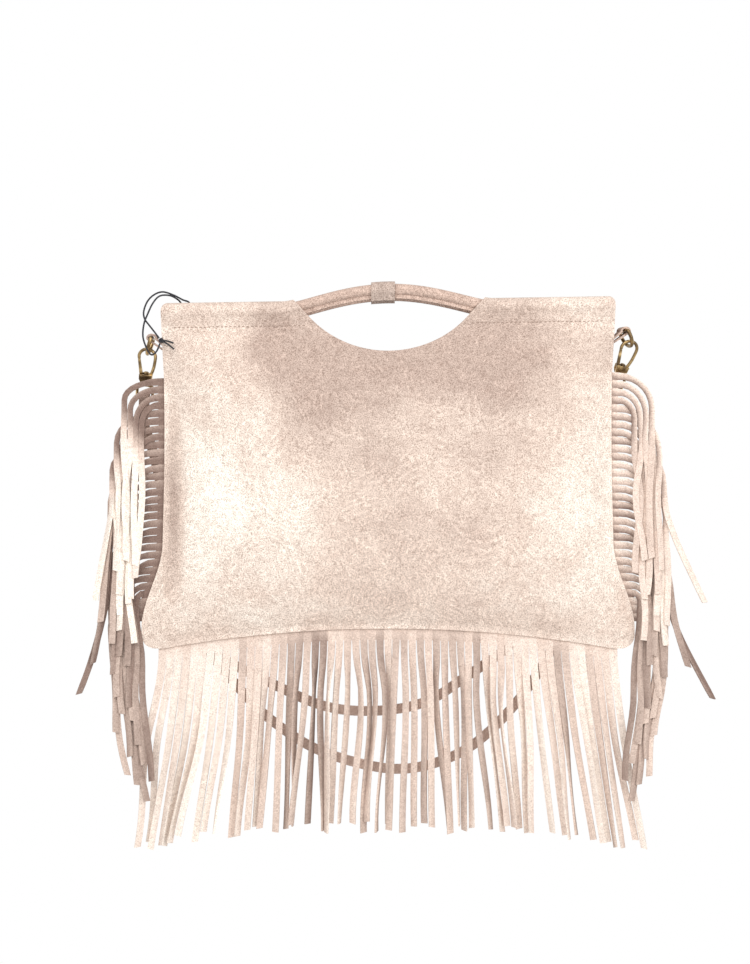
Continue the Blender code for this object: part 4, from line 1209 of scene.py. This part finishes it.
def hook(name, place):
    """The hook's wire, and a block with two cheeks at the gate's pin."""
    top, foot = HOOK_BLOCK_TOP, HOOK_BLOCK_FOOT
    shoulder = mix(top, foot, 0.55)
    right = [(0.0052, top), (0.005, shoulder), (0.0036, foot), (-0.0038, foot)]
    outline = [(-0.0054, top)] + right + [(-0.0054, shoulder)]
    full = [(-0.0016, top)] + right + [(-0.0046, PIN_Z - 0.0024), (-0.0016, PIN_Z - 0.0024)]
    core_half = HOOK_BLOCK_HALF_Y - CHEEK_HALF
    pieces = [tube(name + "_hook_wire", hook_line(), HOOK_WIRE_R, False, 5),
              prism(name + "_core", full, core_half, EDGE_ROUND)]
    for label, y in (("near", -core_half), ("far", core_half)):
        plate = prism(name + "_cheek_" + label, outline, CHEEK_HALF, EDGE_ROUND)
        plate.location.y = y
        pieces.append(plate)
    metal(name + "_hook_body", pieces, place, name + "_hook_body", name + "_hook")


def gate(name, place):
    """The gate's blade and the pin that it turns on."""
    pin_place = place @ Matrix.Translation((PIN_X, 0.0, PIN_Z))
    reach = HOOK_BLOCK_HALF_Y + PIN_OUT
    shoulder = reach - EDGE_ROUND
    pin = lathe(name + "_pin", [(0.0, reach), (PIN_HEAD_R * 0.7, reach), (PIN_HEAD_R, shoulder),
                                (PIN_HEAD_R, -shoulder), (PIN_HEAD_R * 0.7, -reach), (0.0, -reach)], 20)
    metal(name + "_gate_rivet", [pin], pin_place @ Matrix.Rotation(pi / 2.0, 4, "X"),
          name + "_hook_body", name + "_gate_pin")
    tip_z = ARCH_RISE - HOOK_ARCH_R - NOSE_DROP - GAP - PIN_Z
    tip_x = NOSE_X - PIN_X
    blade = prism(name + "_gate_blade",
                  [(tip_x - 0.001, tip_z), (-0.0015, 0.0002), (-0.0008, -0.0014), (0.0008, -0.0014),
                   (0.0015, 0.0002), (0.0008, 0.0026), (tip_x + 0.001, tip_z)], BLADE_HALF_Y, EDGE_ROUND)
    metal(name + "_gate_lever", [blade], pin_place, name + "_gate_body", name + "_gate")


def swivel_eye(name, place):
    """The eye's loop and its stem in the hook's block."""
    collar_top = HOOK_BLOCK_FOOT - GAP
    collar_foot = collar_top - COLLAR_HEIGHT
    head_foot = HOOK_BLOCK_TOP + GAP
    stem = lathe(name + "_eye_stem",
                 [(0.0, head_foot + 0.0012), (HEAD_R * 0.7, head_foot + 0.0012),
                  (HEAD_R, head_foot + 0.0008), (HEAD_R, head_foot), (STEM_R, head_foot),
                  (STEM_R, collar_top), (0.0025, collar_top), (0.0028, collar_top - 0.0004),
                  (0.0028, collar_foot + 0.0004), (0.0024, collar_foot), (0.0, collar_foot)], 28)
    eye_top = collar_foot - 0.0002
    corners = [(-EYE_HALF, EYE_BAR_Z), (-EYE_HALF, eye_top - 0.0012), (-0.003, eye_top),
               (0.003, eye_top), (EYE_HALF, eye_top - 0.0012), (EYE_HALF, EYE_BAR_Z)]
    line = [(x, 0.0, z) for x, z in rounded(corners, EYE_CORNER)]
    loop = tube(name + "_eye_loop", line, EYE_WIRE_R, True, 5)
    metal(name + "_swivel_eye", [loop, stem], place, name + "_eye_body", name + "_clip_eye")


# Strap

LONG_RUN = ((-0.189, 0.0215, -0.125), (-0.18, 0.026, -0.17), (-0.169, 0.027, -0.22),
            (-0.151, 0.027, -0.272), (-0.12, 0.027, -0.313), (-0.092, 0.027, -0.34),
            (-0.052, 0.027, -0.364), (0.006, 0.027, -0.3776), (0.0536, 0.027, -0.367),
            (0.09, 0.027, -0.34), (0.125, 0.027, -0.295), (0.152, 0.027, -0.238),
            (0.17, 0.0265, -0.18), (0.182, 0.0235, -0.125))
DOUBLED_RUN = ((0.1815, 0.0212, -0.125), (0.167, 0.024, -0.18), (0.14, 0.0245, -0.23),
               (0.105, 0.0245, -0.272), (0.0624, 0.0245, -0.303), (0.03, 0.0245, -0.323),
               (-0.01, 0.0245, -0.33), (-0.052, 0.0245, -0.326), (-0.098, 0.0245, -0.306),
               (-0.13, 0.0248, -0.29), (-0.142, 0.0248, -0.2815), (-0.151, 0.0248, -0.272),
               (-0.156, 0.0248, -0.259))
EYE_ARCS = 16
# Drops below the eye's bar, of the strap's tail and of a run's straight start
TAIL_DROPS = (0.019, 0.015, 0.011)
STRAIGHT_DROPS = (0.011, 0.02)
# Length over which a run turns from its eye to its own course
TURN_LENGTH = 0.06


def strap_eye(place):
    """Points and across directions of the loop round an eye's bar."""
    radius = EYE_WIRE_R + STRAP_SLACK + STRAP_SUEDE / 2.0
    centre = EYE_BAR_Z - (STRAP_SLACK - STRAP_OVER)
    side = (place.to_3x3() @ Vector((1.0, 0.0, 0.0))).normalized()
    line = []
    for angle in spread(0.0, pi, EYE_ARCS):
        point = Vector((0.0, radius * cos(angle), centre + radius * sin(angle)))
        line.append((place @ point, side))
    return line


def below_eye(place, y, drops):
    return [place @ Vector((0.0, y, EYE_BAR_Z - drop)) for drop in drops]


def run_sections(line, start_side, end_side):
    """Points and across directions of a run between its ends' directions."""
    sections = []
    for index, point in enumerate(line):
        ahead = line[min(index + 1, len(line) - 1)] - line[max(index - 1, 0)]
        side = ahead.cross(Vector((0.0, 1.0, 0.0))).normalized()
        for fixed, part in ((start_side, line[:index + 1]), (end_side, line[index:])):
            if fixed is None:
                continue
            target = fixed if fixed.dot(side) > 0.0 else -fixed
            side = side.lerp(target, 1.0 - smooth(line_length(part) / TURN_LENGTH)).normalized()
        sections.append((point, side))
    return sections


def strap(left, right):
    """A tail at the left eye, the long run to the right one and the doubled end."""
    pair = STRAP_SUEDE / 2.0 + GAP / 2.0
    left_loop = strap_eye(left)
    right_loop = strap_eye(right)
    left_side, right_side = left_loop[0][1], right_loop[0][1]
    long_line = [*below_eye(left, pair, STRAIGHT_DROPS), *LONG_RUN,
                 *below_eye(right, pair, STRAIGHT_DROPS[::-1])]
    doubled_line = [*below_eye(right, -pair, STRAIGHT_DROPS), *DOUBLED_RUN]
    sections = [(point, left_side) for point in below_eye(left, -pair, TAIL_DROPS)]
    sections += left_loop[::-1]
    sections += run_sections(smooth_line(long_line), left_side, right_side)
    sections += right_loop
    sections += run_sections(smooth_line(doubled_line), right_side, None)
    rows = []
    across = sections[0][1]
    for point, side in sections:
        across = -side if side.dot(across) < 0.0 else side
        rows.append([point + across * STRAP_WIDTH * share for share in (-0.5, -0.2, 0.2, 0.5)])
    made = leather(grid("strap_leather", rows), STRAP_SUEDE, EDGE_ROUND)
    dress(made, STRAP_FINISH, "suede", "shoulder_strap")


# Tag cord

TAG_ROUTE = ((-0.1815, -0.0136, -0.03), (-0.1856, -0.0148, -0.0245), (-0.1895, -0.0152, -0.0195),
             (-0.1928, -0.0146, -0.015), (-0.1938, -0.0135, -0.009), (-0.1912, -0.012, -0.001),
             (-0.186, -0.011, 0.0046), (-0.179, -0.0106, 0.007), (-0.1705, -0.0102, 0.0045),
             (-0.1632, -0.0094, 0.0008), (-0.1585, -0.005, -0.001), (-0.156, -0.0016, -0.008),
             (-0.1545, 0.0, -0.018), (-0.156, 0.0, -0.026), (-0.159, 0.0, -0.028),
             (-0.1618, 0.0, -0.024), (-0.163, -0.0009, -0.013), (-0.165, -0.004, -0.0018),
             (-0.169, -0.0102, 0.0022), (-0.1745, -0.0118, 0.0042), (-0.1815, -0.0126, 0.0034),
             (-0.1866, -0.0136, -0.0024), (-0.1905, -0.0148, -0.011), (-0.1932, -0.0166, -0.019),
             (-0.194, -0.0165, -0.029), (-0.1912, -0.016, -0.038), (-0.1876, -0.015, -0.0432),
             (-0.1836, -0.014, -0.0405), (-0.1808, -0.0134, -0.034))
# The knot's two short ends, from its middle, and their bend
TAG_ENDS = (Vector((0.01, -0.0014, -0.0022)), Vector((0.0105, -0.0018, -0.007)))
TAG_BEND = Vector((0.0, -0.0012, 0.0006))
KNOT_STEPS = 36
KNOT_TURNS = 2.0
# Mean and swing of its turns' reach, their depth, and their thickness, as shares
KNOT_REACH = (0.62, 0.12)
KNOT_DEPTH = 0.35
KNOT_CORD = 1.15


def tag_cord():
    line = smooth_line(TAG_ROUTE)
    cord = tube("tag_string", line, TAG_CORD_R)
    dress(cord, CORD_FINISH, "black_cord", "tag_cord")
    turns = []
    for share in spread(0.0, KNOT_TURNS, KNOT_STEPS):
        angle = 2.0 * pi * share
        reach = TAG_KNOT_R * (KNOT_REACH[0] + KNOT_REACH[1] * sin(1.5 * angle))
        turns.append(TAG_KNOT + Vector((reach * cos(angle), -KNOT_DEPTH * reach * sin(2.0 * angle),
                                        reach * sin(angle))))
    pieces = [tube("knot_turns", turns, TAG_CORD_R * KNOT_CORD)]
    for end in TAG_ENDS:
        tail = smooth_line([TAG_KNOT, TAG_KNOT + end * 0.5 + TAG_BEND, TAG_KNOT + end])
        pieces.append(tube("knot_tail", tail, TAG_CORD_R))
    knot = shade(joined("tag_knot", pieces), KNOT_ANGLE)
    dress(knot, CORD_FINISH, "black_cord", "tag_cord_knot")


# Build

bpy.context.scene.view_settings.view_transform = "Standard"
camera()
tag_cord()
world()
studio_floor()
for light in LIGHTS:
    area_light(*light)

hand_cut = prism("hand_cut", hand_outline(), CUT_HALF_Y)
for label, direction, crown in FACES:
    panel(label + "_suede", direction, crown, label + "_panel", hand_cut)
bpy.data.objects.remove(hand_cut, do_unlink=True)
for label, direction, crown in FACES:
    stitches(label + "_stitching", direction, crown)
for label, direction, crown in FACES:
    handle(label, direction * TOP_DEPTH)
bottom_fringe()

clips = {}
for label, (direction, ring_tilt, clip_tilt, turn) in SIDES.items():
    side_fringe(label, direction)
    tab(label, direction, turn)
    metal(label + "_d_ring", [tube(label + "_ring_wire", ring_line(), RING_WIRE_R, True, 6)],
          ring_place(direction, ring_tilt, turn), label + "_ring_body", label + "_ring")
    clips[label] = clip_place(direction, ring_tilt, clip_tilt, turn)
    hook(label, clips[label])
    gate(label, clips[label])
    swivel_eye(label, clips[label])

strap(clips["left"], clips["right"])
for kept in ("strap_stud", "snap_socket", "snap_stud"):
    materials = frame["nodes"][kept].data.materials
    materials.clear()
    materials.append(BRASS_FINISH)
